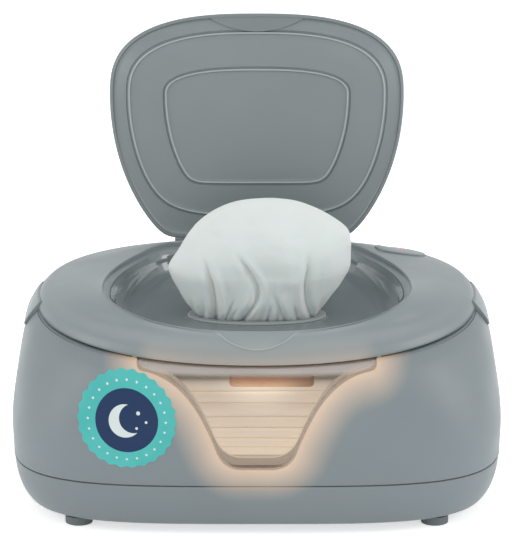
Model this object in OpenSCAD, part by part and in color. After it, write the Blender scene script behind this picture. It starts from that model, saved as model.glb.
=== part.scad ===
// Baby wipe warmer with a flip lid, a hinged top cover and a front viewing window.
// Millimetres. +X is the viewer's right, the front faces -Y, +Z is up.
// The origin is on the table, under the middle of the body.

/* [Body] */
// Width over the widest part of the body
body_w = 253; // [235:1:275]
// Depth over the widest part of the body
body_d = 180; // [168:1:196]
// Height of the seam between the base and the body
seam_z = 27.5; // [24:0.5:32]
// Height of the widest level
waist_z = 47; // [40:0.5:54]
// Height where the body starts to turn in
brow_z = 83; // [76:0.5:86]
// Height of the seam under the cover, at the middle of the body
cover_z = 97; // [94:0.5:104]
// Slope of that seam, rising to the rear
seam_slope = 0.0857; // [0.05:0.005:0.1]
// Rise of that seam at the two sides
seam_rise = 2.4; // [0:0.1:4]
// Wall of the base, the body and the cover
wall = 2.4; // [2:0.1:3]
// Inset of the base at its bottom edge, on each side
bottom_in = 7; // [4:0.5:10]
// Inset of the body at the brow, on each side
brow_in = 6; // [4:0.5:8]
// Inset of the body under the cover, at the left and right
cover_in_x = 12.7; // [11:0.1:14]
// Inset of the body under the cover, at the front and rear
cover_in_y = 7.8; // [6.5:0.1:9]
// Gap between the body and the cover
cover_gap = 1; // [0.6:0.1:1.5]
// Gap between the base and the body
base_gap = 0.5; // [0.3:0.1:0.8]

/* [Cover] */
// Height of the cover's shoulder above the seam
shoulder_h = 7.6; // [6:0.1:9]
// Inset of the shoulder from the seam, at the left and right
shoulder_in_x = 9.5; // [8:0.1:11]
// Inset of the shoulder from the seam, at the front and rear
shoulder_in_y = 11; // [9:0.1:12]
// Height of the lid recess's edge at the middle of the body
recess_z = 107.05; // [106:0.05:108]
// Slope of the lid recess's edge
recess_slope = 0.077; // [0.07:0.001:0.08]
// Depth of the lid recess at its rear
recess_drop = 2.6; // [2.2:0.1:3]
// Depth of the lid recess at its front
recess_front_drop = 0.5; // [0.3:0.1:1]
// Width of the ledge that the lid sits on
ledge_w = 3.5; // [3:0.1:5]
// Radius of the thumb scoop in the front of the cover
scoop_r = 23.2; // [20:0.1:26]
// Reach of the scoop in front of the lid recess
scoop_reach = 12.2; // [8:0.1:14]
// Depth of the scoop
scoop_depth = 0.8; // [0.6:0.1:1.2]

/* [Lid] */
// Inset of the lid's sides from the cover's seam
lid_in_x = 35.6; // [34:0.1:38]
// Inset of the lid's front edge from the cover's seam
lid_in_front = 18.7; // [17:0.1:22]
// Inset of the lid's rear edge from the cover's seam
lid_in_rear = 25.2; // [24.2:0.1:28]
// Place of the lid's widest line, as a share of its length from the front edge
lid_widest = 0.3618; // [0.32:0.0001:0.42]
// Fullness of the lid's sides towards the hinge
lid_full = 1.275; // [1.18:0.001:1.35]
// Rise of the recess rim and of the lid's edge at their front corners
rim_rise = 9.6; // [4:0.1:10]
// Gap between the lid and the side of its recess
lid_gap = 0.8; // [0.5:0.1:1.2]
// Gap under the lid's rim
lid_lift = 0.4; // [0.3:0.1:0.6]
// Crown of the lid above its rim
lid_crown = 7; // [6:0.1:9]
// Thickness of the lid's shell
lid_t = 1.8; // [1.5:0.1:2.2]
// Angle between the closed lid and the open lid of the photographed pose
lid_open = 100; // [95:0.1:106]
// Inset of the outer bead inside the lid
bead_in = 10.4; // [9:0.1:12]
// Width and height of the beads
bead = 1.4; // [1:0.1:2]

/* [Window] */
// Half width of the window's top band
win_half = 60.2; // [56:0.1:64]
// Height of the band's lower edge
win_band_z = 86.4; // [85:0.1:88]
// Half width of the window where its sides run straight
win_neck = 20; // [16:0.5:24]
// Height of that place
win_neck_z = 46.5; // [44:0.5:50]
// Height of the window's bottom edge
win_bottom_z = 37.3; // [36:0.1:39]
// Gap round the window in the body
win_gap = 0.25; // [0.15:0.05:0.4]
// Thickness of the flange behind the window
win_flange = 1.4; // [1:0.1:2]
// Width of the flange behind the window
win_lip = 2.4; // [2:0.1:3]

/* [Tub and wipes] */
// Gap between the tub's flange and the inside of the body, at the left and right
tub_gap_x = 8.7; // [8:0.1:12]
// Gap between the tub's flange and the inside of the body, at the front and rear
tub_gap_y = 4.1; // [3.6:0.1:6]
// Height of the tub's floor
tub_floor_z = 32.5; // [31.5:0.5:36]
// Wall of the tub
tub_t = 1.8; // [1.5:0.1:2.2]
// Drop from the body's top edge to the deck that carries the tub
deck_drop = 5; // [4.5:0.1:6]
// Gap between the stack of wipes and the tub's rim, at the left and right
wipe_gap_x = 14.5; // [13.5:0.5:24]
// Gap between the stack of wipes and the tub's rim, at the front and rear
wipe_gap_y = 14.5; // [13.5:0.5:22]
// Height of the stack of wipes
stack_h = 41; // [20:1:42]
// Half width of the dispensing slot
slot_a = 31; // [26:1:34]
// Half depth of the dispensing slot
slot_b = 12; // [9:1:14]
// Depth of the dispensing bowl
bowl_h = 13.5; // [11:0.5:14]
// Height of the raised wipe above the bowl's floor
wipe_h = 60; // [44:1:62]

/* [Hinges, button and latches] */
// Radius of the cover's hinge barrels
barrel_r = 3.6; // [3.2:0.1:4]
// Radius of the cover's hinge pins
pin_r = 1.5; // [1.2:0.1:1.8]
// Place of the left and right hinge barrels
hinge_x = 32; // [30:1:34]
// Length of one barrel
barrel_l = 8; // [6:0.5:10]
// Radius of the lid's hinge barrels
lid_barrel_r = 2.6; // [2.4:0.1:2.8]
// Radius of the lid's hinge pin
lid_pin_r = 1.25; // [1:0.05:1.4]
// Running clearance of both kinds of pin
pin_fit = 0.06; // [0.03:0.01:0.1]
// Place of the night light button, inwards from the cover's seam at the right
button_in_x = 37.8; // [37:0.1:39]
// Place of the night light button, inwards from the cover's seam at the rear
button_in_y = 32.2; // [31:0.1:33]
// Width of the night light button
button_w = 27; // [24:0.5:30]
// Depth of the night light button
button_d = 15; // [12:0.5:17]
// Travel of the night light button
button_travel = 1.2; // [0.8:0.1:1.4]
// Width of a side latch
latch_w = 34; // [28:1:38]
// Travel of a side latch
latch_travel = 2; // [1:0.1:2]

/* [Base parts] */
// Radius of a rubber foot
foot_r = 7; // [6:0.5:9]
// Height of a rubber foot under the base
foot_h = 4.2; // [3:0.1:6]
// Inset of the feet from the widest level, at the left and right
foot_in_x = 35.5; // [33.5:0.5:41.5]
// Inset of the feet from the widest level, at the front and rear
foot_in_y = 27; // [24:0.5:29]
// Inset of the case screws from the widest level, at the left and right
screw_in_x = 28.5; // [26.5:0.5:30.5]
// Inset of the case screws from the widest level, at the front and rear
screw_in_y = 35; // [33:0.5:37]
// Radius of the case screws
screw_r = 1.5; // [1.2:0.1:1.8]
// Inset of the heater plate from the edge of the tub's floor
plate_in = 16; // [12:0.5:26]
// Height of the middle of the power inlet
jack_z = 15.5; // [14.5:0.5:17]
// Radius of the power inlet's mouth
jack_r = 1.8; // [1.7:0.05:2]

/* [Hidden] */

steps = 64;
tiny = 0.01;
case_grey = [0.53, 0.57, 0.58];
bowl_grey = [0.43, 0.47, 0.48];
lid_grey = [0.52, 0.56, 0.57];
clear_tint = [0.86, 0.82, 0.78, 0.5];
steel = [0.72, 0.73, 0.75];
board_green = [0.1, 0.36, 0.2];
wire_grey = [0.2, 0.2, 0.22];
rubber_dark = [0.25, 0.26, 0.27];
wipe_white = [0.94, 0.94, 0.93];

// Squareness of the outline at each level: 2 is an oval, 4 is close to a rounded rectangle
base_sq = 3.85;
waist_sq = 3.7;
flank_sq = 3.3;
brow_sq = 2.7;
cover_sq = 2.25;
tub_sq = 2.7;

waist_a = body_w / 2;
waist_b = body_d / 2;
seam_a = waist_a - 0.5;
seam_b = waist_b - 2.5;
bottom_a = waist_a - bottom_in;
bottom_b = waist_b - bottom_in;
brow_a = waist_a - brow_in;
brow_b = waist_b - brow_in / 2;
rim_a = waist_a - cover_in_x;
rim_b = waist_b - cover_in_y;
lid_front = rim_b - lid_in_front;
lid_rear = rim_b - lid_in_rear;
flange_w = 4.2;
tub_a = rim_a - wall - tub_gap_x - flange_w;
tub_b = rim_b - wall - tub_gap_y - flange_w;
foot_x = waist_a - foot_in_x;
foot_y = waist_b - foot_in_y;
screw_x = waist_a - screw_in_x;
screw_y = waist_b - screw_in_y;
flank_z = (waist_z + brow_z) / 2;

// A level of the outside: half width, half depth, squareness, height, slope and rise at the sides
base_levels = [
    [bottom_a - 5, bottom_b - 5, base_sq, foot_h, 0, 0],
    [bottom_a - 1.2, bottom_b - 1.2, base_sq, foot_h + 1.4, 0, 0],
    [bottom_a + 1.4, bottom_b + 0.6, base_sq, foot_h + 4.5, 0, 0],
    [seam_a - 1.6, seam_b - 1, base_sq, foot_h + 13, 0, 0],
    [seam_a, seam_b, base_sq, seam_z, 0, 0]];
body_levels = [
    [seam_a, seam_b, base_sq, seam_z + base_gap, 0, 0],
    [waist_a, waist_b, waist_sq, waist_z, 0, 0],
    [(waist_a * 1.7 + brow_a) / 2.7, (waist_b * 1.9 + brow_b) / 2.9, flank_sq, flank_z, 0, 0],
    [brow_a, brow_b, brow_sq, brow_z, seam_slope / 2, seam_rise / 2],
    [(rim_a + brow_a) / 2 + 0.5, (rim_b + brow_b) / 2 + 0.4, (brow_sq + cover_sq) / 2,
        (cover_z + brow_z) / 2 + 0.4, seam_slope * 0.75, seam_rise * 0.75],
    [rim_a, rim_b, cover_sq, cover_z - cover_gap, seam_slope, seam_rise]];

// Points of a rounded outline and the rings that stand on it
function unit(t, n) = pow(pow(abs(cos(t)), n) + pow(abs(sin(t)), n), -1 / n);
function oval(a, b, n) = [for (i = [0 : steps - 1]) let (t = 360 * i / steps, k = unit(t, n))
    [a * k * cos(t), b * k * sin(t)]];
function level_ring(l, d = 0, dz = 0) = [for (p = oval(l[0] - d, l[1] - d, l[2]))
    [p.x, p.y, l[3] + dz + l[4] * p.y + l[5] * pow(p.x / l[0], 2)]];
function flat_ring(pts, z) = [for (p = pts) [p.x, p.y, z]];
function slope_ring(pts, z, slope) = [for (p = pts) [p.x, p.y, z + slope * p.y]];

// Height of the cover's seam, which is the top of the body plus the gap
function seam_height(x, y) = cover_z + seam_slope * y + seam_rise * pow(x / rim_a, 2);
function seam_ring(pts, dz) = [for (p = pts) [p.x, p.y, seam_height(p.x, p.y) + dz]];

// Outline of the lid: a rounded nose in front, oval sides and a flat rear edge
lid_a = rim_a - lid_in_x;
lid_nose = lid_widest * (lid_front + lid_rear);
lid_mid = lid_nose - lid_front;
lid_taper = lid_full * (lid_rear - lid_mid);
lid_sq = 2.65;
function soft_cut(v, cut, corner) = v / pow(1 + pow(v / cut, corner), 1 / corner);
function lid_outline(d, corner = 30) = [for (i = [0 : steps - 1]) let (t = 360 * i / steps,
    k = unit(t, lid_sq))
    sin(t) < 0
        ? [(lid_a - d) * k * cos(t), lid_mid + (lid_nose - d) * k * sin(t)]
        : [(lid_a - d) * cos(t),
            lid_mid + soft_cut((lid_taper - d) * sin(t), lid_rear - lid_mid - d, corner)]];

// The recess has the lid's outline and a wider gap behind the lid, where it swings
recess_rear_gap = 3;
function recess_outline(d) = [for (p = lid_outline(d - lid_gap))
    [p.x, p.y > lid_mid
        ? lid_mid + (p.y - lid_mid) * (1 + (recess_rear_gap - lid_gap) / (lid_rear - lid_mid)) : p.y]];
recess_front = lid_front + lid_gap;
recess_rear = lid_rear + recess_rear_gap;
ledge_slope = recess_slope - (recess_drop - recess_front_drop) / (recess_front + recess_rear);
ledge_z = recess_z - recess_front_drop - (recess_slope - ledge_slope) * recess_front;
function ledge_height(y) = ledge_z + ledge_slope * y;

// The rim of the recess and the edge of the lid rise together towards the front corners
rise_from = lid_rear * 0.8;
rise_in = 14;
function share(v) = max(0, min(1, v));
function lifted(pts, d) = [for (p = pts) [p.x, p.y, p.z + rim_rise * pow(abs(p.x) / lid_a, 2.5)
    * share((rise_from - p.y) / (rise_from + lid_front * 0.75)) * share(1 - d / rise_in)]];
function ledge_ring(d, dz) =
    lifted(slope_ring(recess_outline(d), ledge_z + dz, ledge_slope), d - lid_gap);

// Hinge axes: the cover's behind its rear edge, the lid's sunk behind the recess
cover_axis_y = rim_b + barrel_r;
cover_axis_z = cover_z + seam_slope * rim_b - 0.5;
lid_axis_y = lid_rear + 6.3;
lid_axis_z = ledge_height(lid_rear) + lid_lift - 3.6;
lid_arm_in = 11.6;
lid_arm_w = 8;
lid_slot_r = 7.7;
side_gap = 0.4;

// Skin between one list of rings and the next; the first and last ring are closed flat
module loft(rings) {
    m = len(rings[0]);
    last = len(rings) - 1;
    polyhedron(points = [for (r = rings) each r],
        faces = concat([[for (i = [0 : m - 1]) i]],
            [for (j = [0 : last - 1], i = [0 : m - 1]) each
                let (a = j * m + i, b = j * m + (i + 1) % m, c = b + m, d = a + m)
                [[a, d, c], [a, c, b]]],
            [[for (i = [m - 1 : -1 : 0]) last * m + i]]), convexity = 10);
}

// The same skin, closed from the last ring back to the first, so that it leaves a hole
module ring_loft(rings) {
    m = len(rings[0]);
    n = len(rings);
    polyhedron(points = [for (r = rings) each r],
        faces = [for (j = [0 : n - 1], i = [0 : m - 1]) each
            let (k = (j + 1) % n, a = j * m + i, b = j * m + (i + 1) % m, c = k * m + (i + 1) % m,
                d = k * m + i) [[a, d, c], [a, c, b]]], convexity = 10);
}

// A tube of radius r along a list of points
function unitv(v) = v / norm(v);
function tangent(p, i) = unitv(p[min(i + 1, len(p) - 1)] - p[max(i - 1, 0)]);
function side_dir(t) = unitv(cross(t, abs(t.z) > 0.9 ? [0, 1, 0] : [0, 0, 1]));
module tube(p, r, sides = 8) {
    loft([for (i = [0 : len(p) - 1]) let (t = tangent(p, i), u = side_dir(t), v = cross(t, u))
        [for (s = [0 : sides - 1]) p[i] - r * (cos(360 * s / sides) * u + sin(360 * s / sides) * v)]]);
}

// Points of a coil spring along +Z, with straight ends one wire diameter long
spring_wire = 0.4;
function coil(radius, length, turns) = concat([[radius, 0, 0]],
    [for (i = [0 : 10 * turns]) [radius * cos(36 * i), radius * sin(36 * i),
        spring_wire * 2 + (length - spring_wire * 4) * i / (10 * turns)]],
    [[radius, 0, length]]);

// Solid of the body's outside, drawn in by d
module body_solid(d) {
    loft(concat([flat_ring(oval(seam_a - d, seam_b - d, base_sq), seam_z - 6)],
        [for (k = [1 : 5]) level_ring(body_levels[k], d)],
        [flat_ring(oval(rim_a - d, rim_b - d, cover_sq), cover_z + 20)]));
}

// Window outline: a band at the top, sides that sweep down to a neck and a round bottom
function curve4(a, b, c, d, t) = pow(1 - t, 3) * a + 3 * pow(1 - t, 2) * t * b
    + 3 * (1 - t) * t * t * c + t * t * t * d;
function curve3(a, b, c, t) = pow(1 - t, 2) * a + 2 * (1 - t) * t * b + t * t * c;
win_top_z = cover_z + 12;
win_half_outline = concat(
    [[win_half, win_top_z], [win_half, win_band_z + 2.4], [win_half - 0.8, win_band_z + 0.8]],
    [for (t = [0 : 0.1 : 1]) curve4([win_half - 3, win_band_z], [win_neck + 18, win_band_z - 1.9],
        [win_neck + 9, win_neck_z + 23.5], [win_neck, win_neck_z], t)],
    [for (t = [0.2 : 0.2 : 1]) curve3([win_neck, win_neck_z], [win_neck - 3.5, win_bottom_z],
        [win_neck - 13, win_bottom_z], t)]);
win_outline = concat(win_half_outline,
    [for (i = [len(win_half_outline) - 1 : -1 : 0]) [-win_half_outline[i].x, win_half_outline[i].y]]);
function grown(pts, d) = [for (i = [0 : len(pts) - 1]) let (
        a = pts[(i + len(pts) - 1) % len(pts)], b = pts[i], c = pts[(i + 1) % len(pts)],
        e = unitv(b - a), f = unitv(c - b), n1 = [-e.y, e.x], n2 = [-f.y, f.x], m = unitv(n1 + n2))
    b + m * d / max(0.5, m * n1)];
module window_prism(d, front = -120, back = -50) {
    translate([0, back, 0]) rotate([90, 0, 0])
        linear_extrude(height = back - front) polygon(grown(win_outline, d));
}

// Screws stand on their heads along +Z
module screw(r, head_r, head_h, length) {
    cylinder(r = head_r, h = head_h, $fn = 32);
    cylinder(r = r, h = length, $fn = 24);
}

module at_corners(x, y) {
    for (sx = [-1, 1], sy = [-1, 1]) translate([sx * x, sy * y, 0]) children();
}

boss_r = 4.6;
screw_head_r = 3.1;
screw_head_h = 2.2;
screw_head_z = 15;
screw_fit = 0.1;
tongue_h = 3;
tongue_t = 1.1;
jack_y = seam_b - 1;
jack_flange_r = 5.2;
jack_mouth = 0.5;
jack_depth = 14;
jack_body = [9, 13, 10];

// Lower casing: floor, wall and the tongue that enters the body
module base_shell() {
    color(case_grey) difference() {
        union() {
            loft(concat([for (l = base_levels) level_ring(l)],
                [level_ring(base_levels[4], wall - tongue_t),
                    level_ring(base_levels[4], wall - tongue_t, tongue_h),
                    level_ring(base_levels[4], wall, tongue_h),
                    level_ring(base_levels[4], wall),
                    level_ring(base_levels[3], wall),
                    level_ring(base_levels[2], wall, 0.4),
                    flat_ring(oval(bottom_a - 6, bottom_b - 6, base_sq), foot_h + wall)]));
            at_corners(screw_x, screw_y) translate([0, 0, foot_h + wall - tiny])
                cylinder(r = boss_r, h = seam_z - foot_h - wall + tiny, $fn = 40);
            board_places() translate([0, 0, foot_h + wall - tiny])
                cylinder(r = 3, h = board_z - foot_h - wall + tiny, $fn = 32);
        }
        at_corners(screw_x, screw_y) {
            cylinder(r = screw_r + screw_fit, h = seam_z * 2, $fn = 32);
            cylinder(r = screw_head_r + 0.4, h = screw_head_z, $fn = 32);
        }
        at_corners(foot_x, foot_y) cylinder(r = foot_stem_r + 0.1, h = foot_h + wall + 2, $fn = 32);
        board_places() translate([0, 0, foot_h + wall]) cylinder(r = board_screw_r + 0.05, h = 20,
            $fn = 24);
        translate([0, jack_y - 14, jack_z]) rotate([-90, 0, 0])
            cylinder(r = jack_flange_r + 0.15, h = 30, $fn = 48);
    }
}

post_top_z = 52;
// Upper casing: wall, deck for the tub, window opening, screw posts, hinge barrels and latch shelves
deck_hole_a = tub_a + 0.6;
deck_hole_b = tub_b + 0.6;
deck_t = 2;
module body_shell() {
    color(case_grey) difference() {
        union() {
            difference() {
                ring_loft(concat([for (l = body_levels) level_ring(l)],
                    [level_ring(body_levels[5], wall),
                        level_ring(body_levels[5], wall, -deck_drop),
                        seam_ring(oval(deck_hole_a, deck_hole_b, tub_sq), -cover_gap - deck_drop),
                        seam_ring(oval(deck_hole_a, deck_hole_b, tub_sq),
                            -cover_gap - deck_drop - deck_t),
                        level_ring(body_levels[5], wall, -deck_drop - deck_t),
                        level_ring(body_levels[4], wall, -3.2),
                        level_ring(body_levels[3], wall),
                        level_ring(body_levels[2], wall),
                        level_ring(body_levels[1], wall),
                        level_ring(body_levels[0], wall, tongue_h + 2),
                        level_ring(body_levels[0], wall - tongue_t - 0.15, tongue_h + 0.4),
                        level_ring(body_levels[0], wall - tongue_t - 0.15)]));
                window_prism(win_gap);
                intersection() {
                    window_prism(win_lip + 0.4);
                    body_solid(wall - tiny);
                }
            }
            intersection() {
                screw_posts();
                body_solid(wall / 2);
            }
            barrels(1);
        }
        at_corners(screw_x, screw_y) translate([0, 0, seam_z - 4])
            cylinder(r = screw_r + screw_fit, h = 20, $fn = 32);
        barrel_cuts(0);
        for (s = [-1, 1]) latch_cut(s, hook_x - latch_travel - 0.4);
        hinge_bores();
        translate([-lead_turn_x, body_lead_y, 60]) cylinder(r = lead_r + 0.4,
            h = cover_axis_z + body_lead_rise - 60, $fn = 32);
    }
    color(case_grey) for (s = [-1, 1]) latch_shelf(s);
}

module screw_posts() {
    at_corners(screw_x, screw_y) translate([0, 0, seam_z]) cylinder(r = boss_r - 0.4,
        h = post_top_z - seam_z, $fn = 40);
    for (sx = [-1, 1], sy = [-1, 1]) translate([sx * screw_x, sy * screw_y, seam_z + tongue_h + 2])
        rotate([0, 0, atan2(sy, sx)]) translate([2, -1.5, 0]) cube([24, 3,
            post_top_z - seam_z - tongue_h - 2]);
}

// Cover hinge. Slots along X: the body carries the outer barrels, the cover the middle ones.
// The middle group is hollow and carries the lead of the button and the lamp.
mid_l = 15;
lead_r = 1.1;
lead_turn_x = 8;
lead_run = 8.4;
body_lead_rise = -8;
cover_lead_rise = 1.9;
function barrel_places(of_body) = of_body == 1
    ? [[-hinge_x - barrel_l * 1.5, barrel_l - side_gap], [-hinge_x + barrel_l / 2 + side_gap,
        barrel_l - side_gap],
        [hinge_x - barrel_l * 1.5, barrel_l - side_gap], [hinge_x + barrel_l / 2 + side_gap,
            barrel_l - side_gap],
        [-mid_l, mid_l - side_gap / 2]]
    : [[-hinge_x - barrel_l / 2, barrel_l], [hinge_x - barrel_l / 2, barrel_l], [side_gap / 2,
        mid_l - side_gap / 2]];

module barrels(of_body) {
    for (b = barrel_places(of_body)) translate([b[0], cover_axis_y, cover_axis_z]) {
        rotate([0, 90, 0]) cylinder(r = barrel_r, h = b[1], $fn = 48);
        barrel_foot(b[1], of_body);
    }
}

// Web that joins a barrel to the body below it, or to the cover in front of it
module barrel_foot(l, of_body) {
    if (of_body == 1) translate([0, -barrel_r - 4.4, -barrel_r - 6]) cube([l, barrel_r + 5.4,
        barrel_r + 5.4]);
    else translate([0, -barrel_r - 5.2, 0.3]) cube([l, barrel_r + 5.2, barrel_r - 0.3]);
}

// Room for the other piece's barrels
module barrel_cuts(of_body) {
    for (b = barrel_places(of_body)) translate([b[0] - side_gap, cover_axis_y, cover_axis_z])
        rotate([0, 90, 0]) cylinder(r = barrel_r + 0.6, h = b[1] + 2 * side_gap, $fn = 48);
}

module hinge_bores() {
    for (s = [-1, 1]) translate([s * hinge_x - 20, cover_axis_y, cover_axis_z])
        rotate([0, 90, 0]) cylinder(r = pin_r + pin_fit, h = 40, $fn = 32);
    translate([-lead_turn_x, cover_axis_y, cover_axis_z]) rotate([0, 90, 0])
        cylinder(r = lead_r + 0.3, h = 2 * lead_turn_x, $fn = 32);
    for (e = [[-lead_turn_x, body_lead_rise], [lead_turn_x, cover_lead_rise]])
        translate([e[0], cover_axis_y, cover_axis_z]) rotate([atan2(lead_run, e[1]), 0, 0])
            cylinder(r = lead_r + 0.3, h = norm([lead_run, e[1]]) + 2, $fn = 32);
    for (e = [-lead_turn_x, lead_turn_x]) translate([e, cover_axis_y, cover_axis_z])
        sphere(r = lead_r + 0.3, $fn = 32);
}

module hinge_pin(s) {
    color(steel) translate([s * hinge_x - barrel_l * 1.5, cover_axis_y, cover_axis_z]) rotate([0, 90, 0])
        cylinder(r = pin_r, h = barrel_l * 3, $fn = 32);
}

// Side latches: a panel outside, an arm with a hook inside, pressed inwards to free the cover
latch_y = 4;
latch_over = 1.8;
latch_top_z = seam_height(rim_a, latch_y) + latch_over;
latch_proud = 0.8;
latch_bulge = 1.7;
latch_low_z = brow_z + 2;
latch_t = 3;
latch_gap = 0.5;
latch_in_x = rim_a - latch_t;
keeper_t = 1;
keeper_x = latch_in_x - latch_travel - 0.9 - keeper_t;
hook_t = 1.4;
hook_x = keeper_x - 0.4 - hook_t;
latch_arm_z = latch_low_z + 3;
module latch_outline(d) {
    r = latch_w / 2 + d;
    rotate([90, 0, 90]) linear_extrude(height = 60) intersection() {
        union() {
            translate([latch_y, latch_low_z + latch_w / 2]) circle(r = r, $fn = 64);
            translate([latch_y - r, latch_low_z + latch_w / 2]) square([2 * r, 40]);
        }
        translate([latch_y - 50, latch_low_z - d]) square([100, latch_top_z - latch_low_z + 2 * d]);
    }
}

// Skin of the latch's outside: it stands out from the body's wall and bulges most at the seam
module latch_skin() {
    d = -latch_proud;
    loft([level_ring(body_levels[2], d), level_ring(body_levels[3], d - latch_bulge * 0.1),
        level_ring(body_levels[4], d - latch_bulge * 0.6), level_ring(body_levels[5], d - latch_bulge),
        flat_ring(oval(rim_a - d - latch_bulge * 3, rim_b - d, cover_sq), cover_z + 10)]);
}

// Room for the latch in the body, and in the cover down to the place of its keeper
module latch_cut(s, from_x) {
    mirror([s < 0 ? 1 : 0, 0, 0]) translate([from_x, 0, 0]) latch_outline(latch_gap);
}

module latch_shelf(s) {
    mirror([s < 0 ? 1 : 0, 0, 0]) {
        translate([hook_x - latch_travel, latch_y - 5, latch_low_z - 3])
            cube([latch_in_x - hook_x - 0.4, 10, latch_arm_z - latch_low_z + 2.7]);
        intersection() {
            translate([hook_x - latch_travel, latch_y - 5, latch_low_z - 3]) cube([40, 10, 2]);
            body_solid(wall / 2);
        }
    }
}

module latch(s) {
    color(case_grey) mirror([s < 0 ? 1 : 0, 0, 0]) {
        intersection() {
            translate([latch_in_x, 0, 0]) latch_outline(0);
            latch_skin();
        }
        translate([hook_x, latch_y - 6, latch_arm_z]) cube([latch_in_x - hook_x + 1, 12, 2.5]);
        translate([hook_x, latch_y - 6, latch_arm_z]) cube([hook_t, 12, 10.5]);
    }
}

// Clear window, flush with the body's outside, and its flange behind the wall
module viewing_window() {
    color(clear_tint) intersection() {
        difference() {
            body_solid(0);
            body_solid(wall + win_flange);
        }
        union() {
            window_prism(0);
            intersection() {
                window_prism(win_lip);
                body_solid(wall + 0.1);
            }
        }
        below_cover(cover_gap);
    }
}

// Everything lower than the cover's seam by a gap, in strips along Y
module below_cover(gap) {
    reach = 130;
    strips = [for (x = [-reach : 10 : reach]) x];
    loft([for (y = [-reach, reach]) concat([for (x = strips) [x, y, seam_height(x, y) - gap]],
        [[reach, y, 0], [-reach, y, 0]])]);
}

// Clear tunnel between the window and the tub, which keeps the steam in
tunnel_t = 1.3;
module window_tunnel() {
    color(clear_tint) difference() {
        intersection() {
            window_prism(win_lip);
            body_solid(wall + win_flange + 0.15);
            below_cover(cover_gap + deck_drop - 2);
        }
        window_prism(win_lip - tunnel_t);
        tub_outside(0.3);
    }
}

// Tub that holds the wipes, hung by its flange on the body's deck
tub_draft = 3.5;
tub_foot = 4;
flange_t = 2;
flange_dz = -cover_gap - deck_drop + 0.15;
module tub_outside(d) {
    loft([flat_ring(oval(tub_a - tub_draft - tub_foot + d, tub_b - tub_draft - tub_foot + d, tub_sq),
        tub_floor_z - tub_t - d),
        flat_ring(oval(tub_a - tub_draft + d, tub_b - tub_draft + d, tub_sq), tub_floor_z + 2),
        flat_ring(oval(tub_a + d, tub_b + d, tub_sq), cover_z + 30)]);
}

module inner_tub() {
    color([0.74, 0.72, 0.69]) difference() {
        loft([flat_ring(oval(tub_a - tub_draft - tub_foot, tub_b - tub_draft - tub_foot, tub_sq),
            tub_floor_z - tub_t),
            flat_ring(oval(tub_a - tub_draft, tub_b - tub_draft, tub_sq), tub_floor_z + 2),
            seam_ring(oval(tub_a - 0.6, tub_b - 0.6, tub_sq), flange_dz),
            seam_ring(oval(tub_a + flange_w, tub_b + flange_w, tub_sq), flange_dz),
            seam_ring(oval(tub_a + flange_w, tub_b + flange_w, tub_sq), flange_dz + flange_t),
            seam_ring(oval(tub_a - tub_t - 0.6, tub_b - tub_t - 0.6, tub_sq), flange_dz + flange_t),
            flat_ring(oval(tub_a - tub_draft - tub_t, tub_b - tub_draft - tub_t, tub_sq),
                tub_floor_z + 4),
            flat_ring(oval(tub_a - tub_draft - 5, tub_b - tub_draft - 5, tub_sq), tub_floor_z)]);
        window_prism(win_lip - tunnel_t);
        intersection() {
            window_prism(win_lip + 0.3);
            difference() {
                cube([400, 400, 400], center = true);
                tub_outside(-0.1);
            }
        }
        plate_screw_places() translate([0, 0, tub_floor_z - tub_t - 1]) cylinder(r = 1.25, h = 1.8,
            $fn = 24);
    }
}

// Soft gasket on the tub's flange, under the cover's liner
gasket_dz = flange_dz + flange_t + 0.1;
liner_dz = -1.3;
module tub_gasket() {
    color(rubber_dark) difference() {
        ring_loft([seam_ring(oval(tub_a + flange_w - 0.5, tub_b + flange_w - 0.5, tub_sq), gasket_dz),
            seam_ring(oval(tub_a + flange_w - 1, tub_b + flange_w - 1, tub_sq), liner_dz - 0.35),
            seam_ring(oval(tub_a + flange_w - 2.4, tub_b + flange_w - 2.4, tub_sq), liner_dz - 0.35),
            seam_ring(oval(tub_a + flange_w - 3, tub_b + flange_w - 3, tub_sq), gasket_dz)]);
        window_prism(win_lip + 0.3);
    }
}

// Heater under the tub: plate, film and insulation
plate_t = 2;
film_t = 0.8;
pad_t = 4;
plate_w = 2 * (tub_a - tub_draft - tub_foot - plate_in);
plate_d = 2 * (tub_b - tub_draft - tub_foot - plate_in);
plate_z = tub_floor_z - tub_t - plate_t;
film_z = plate_z - film_t;
pad_z = film_z - pad_t;
plate_screw_x = plate_w / 2 - 6;
plate_screw_y = plate_d / 2 - 6;
module plate_screw_places() {
    at_corners(plate_screw_x, plate_screw_y) children();
}

module rounded_slab(w, d, h, r) {
    linear_extrude(height = h) union() {
        square([w - 2 * r, d], center = true);
        square([w, d - 2 * r], center = true);
        for (sx = [-1, 1], sy = [-1, 1]) translate([sx * (w / 2 - r), sy * (d / 2 - r)]) circle(r = r,
            $fn = 32);
    }
}

module heater_plate() {
    color(steel) difference() {
        translate([0, 0, plate_z]) rounded_slab(plate_w, plate_d, plate_t, 8);
        plate_screw_places() translate([0, 0, plate_z - 1]) cylinder(r = 1.6, h = plate_t + 2, $fn = 24);
    }
}

module heater_film() {
    color([0.72, 0.42, 0.16]) translate([0, 0, film_z]) rounded_slab(plate_w - 26, plate_d - 20, film_t,
        4);
}

module heater_insulation() {
    color([0.85, 0.85, 0.82]) difference() {
        translate([0, 0, pad_z]) rounded_slab(plate_w - 22, plate_d - 16, pad_t, 4);
        translate([-22, -7, pad_z - 1]) cube([30, 12, pad_t + 2]);
        translate([lead_exit_x - 3, plate_d / 2 - 14, pad_z - 1]) cube([6, 12, pad_t + 2]);
    }
}

module heater_screws() {
    color(steel) plate_screw_places() translate([0, 0, plate_z - 1.4]) screw(1.2, 2.6, 1.4, 3.9);
}

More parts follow.
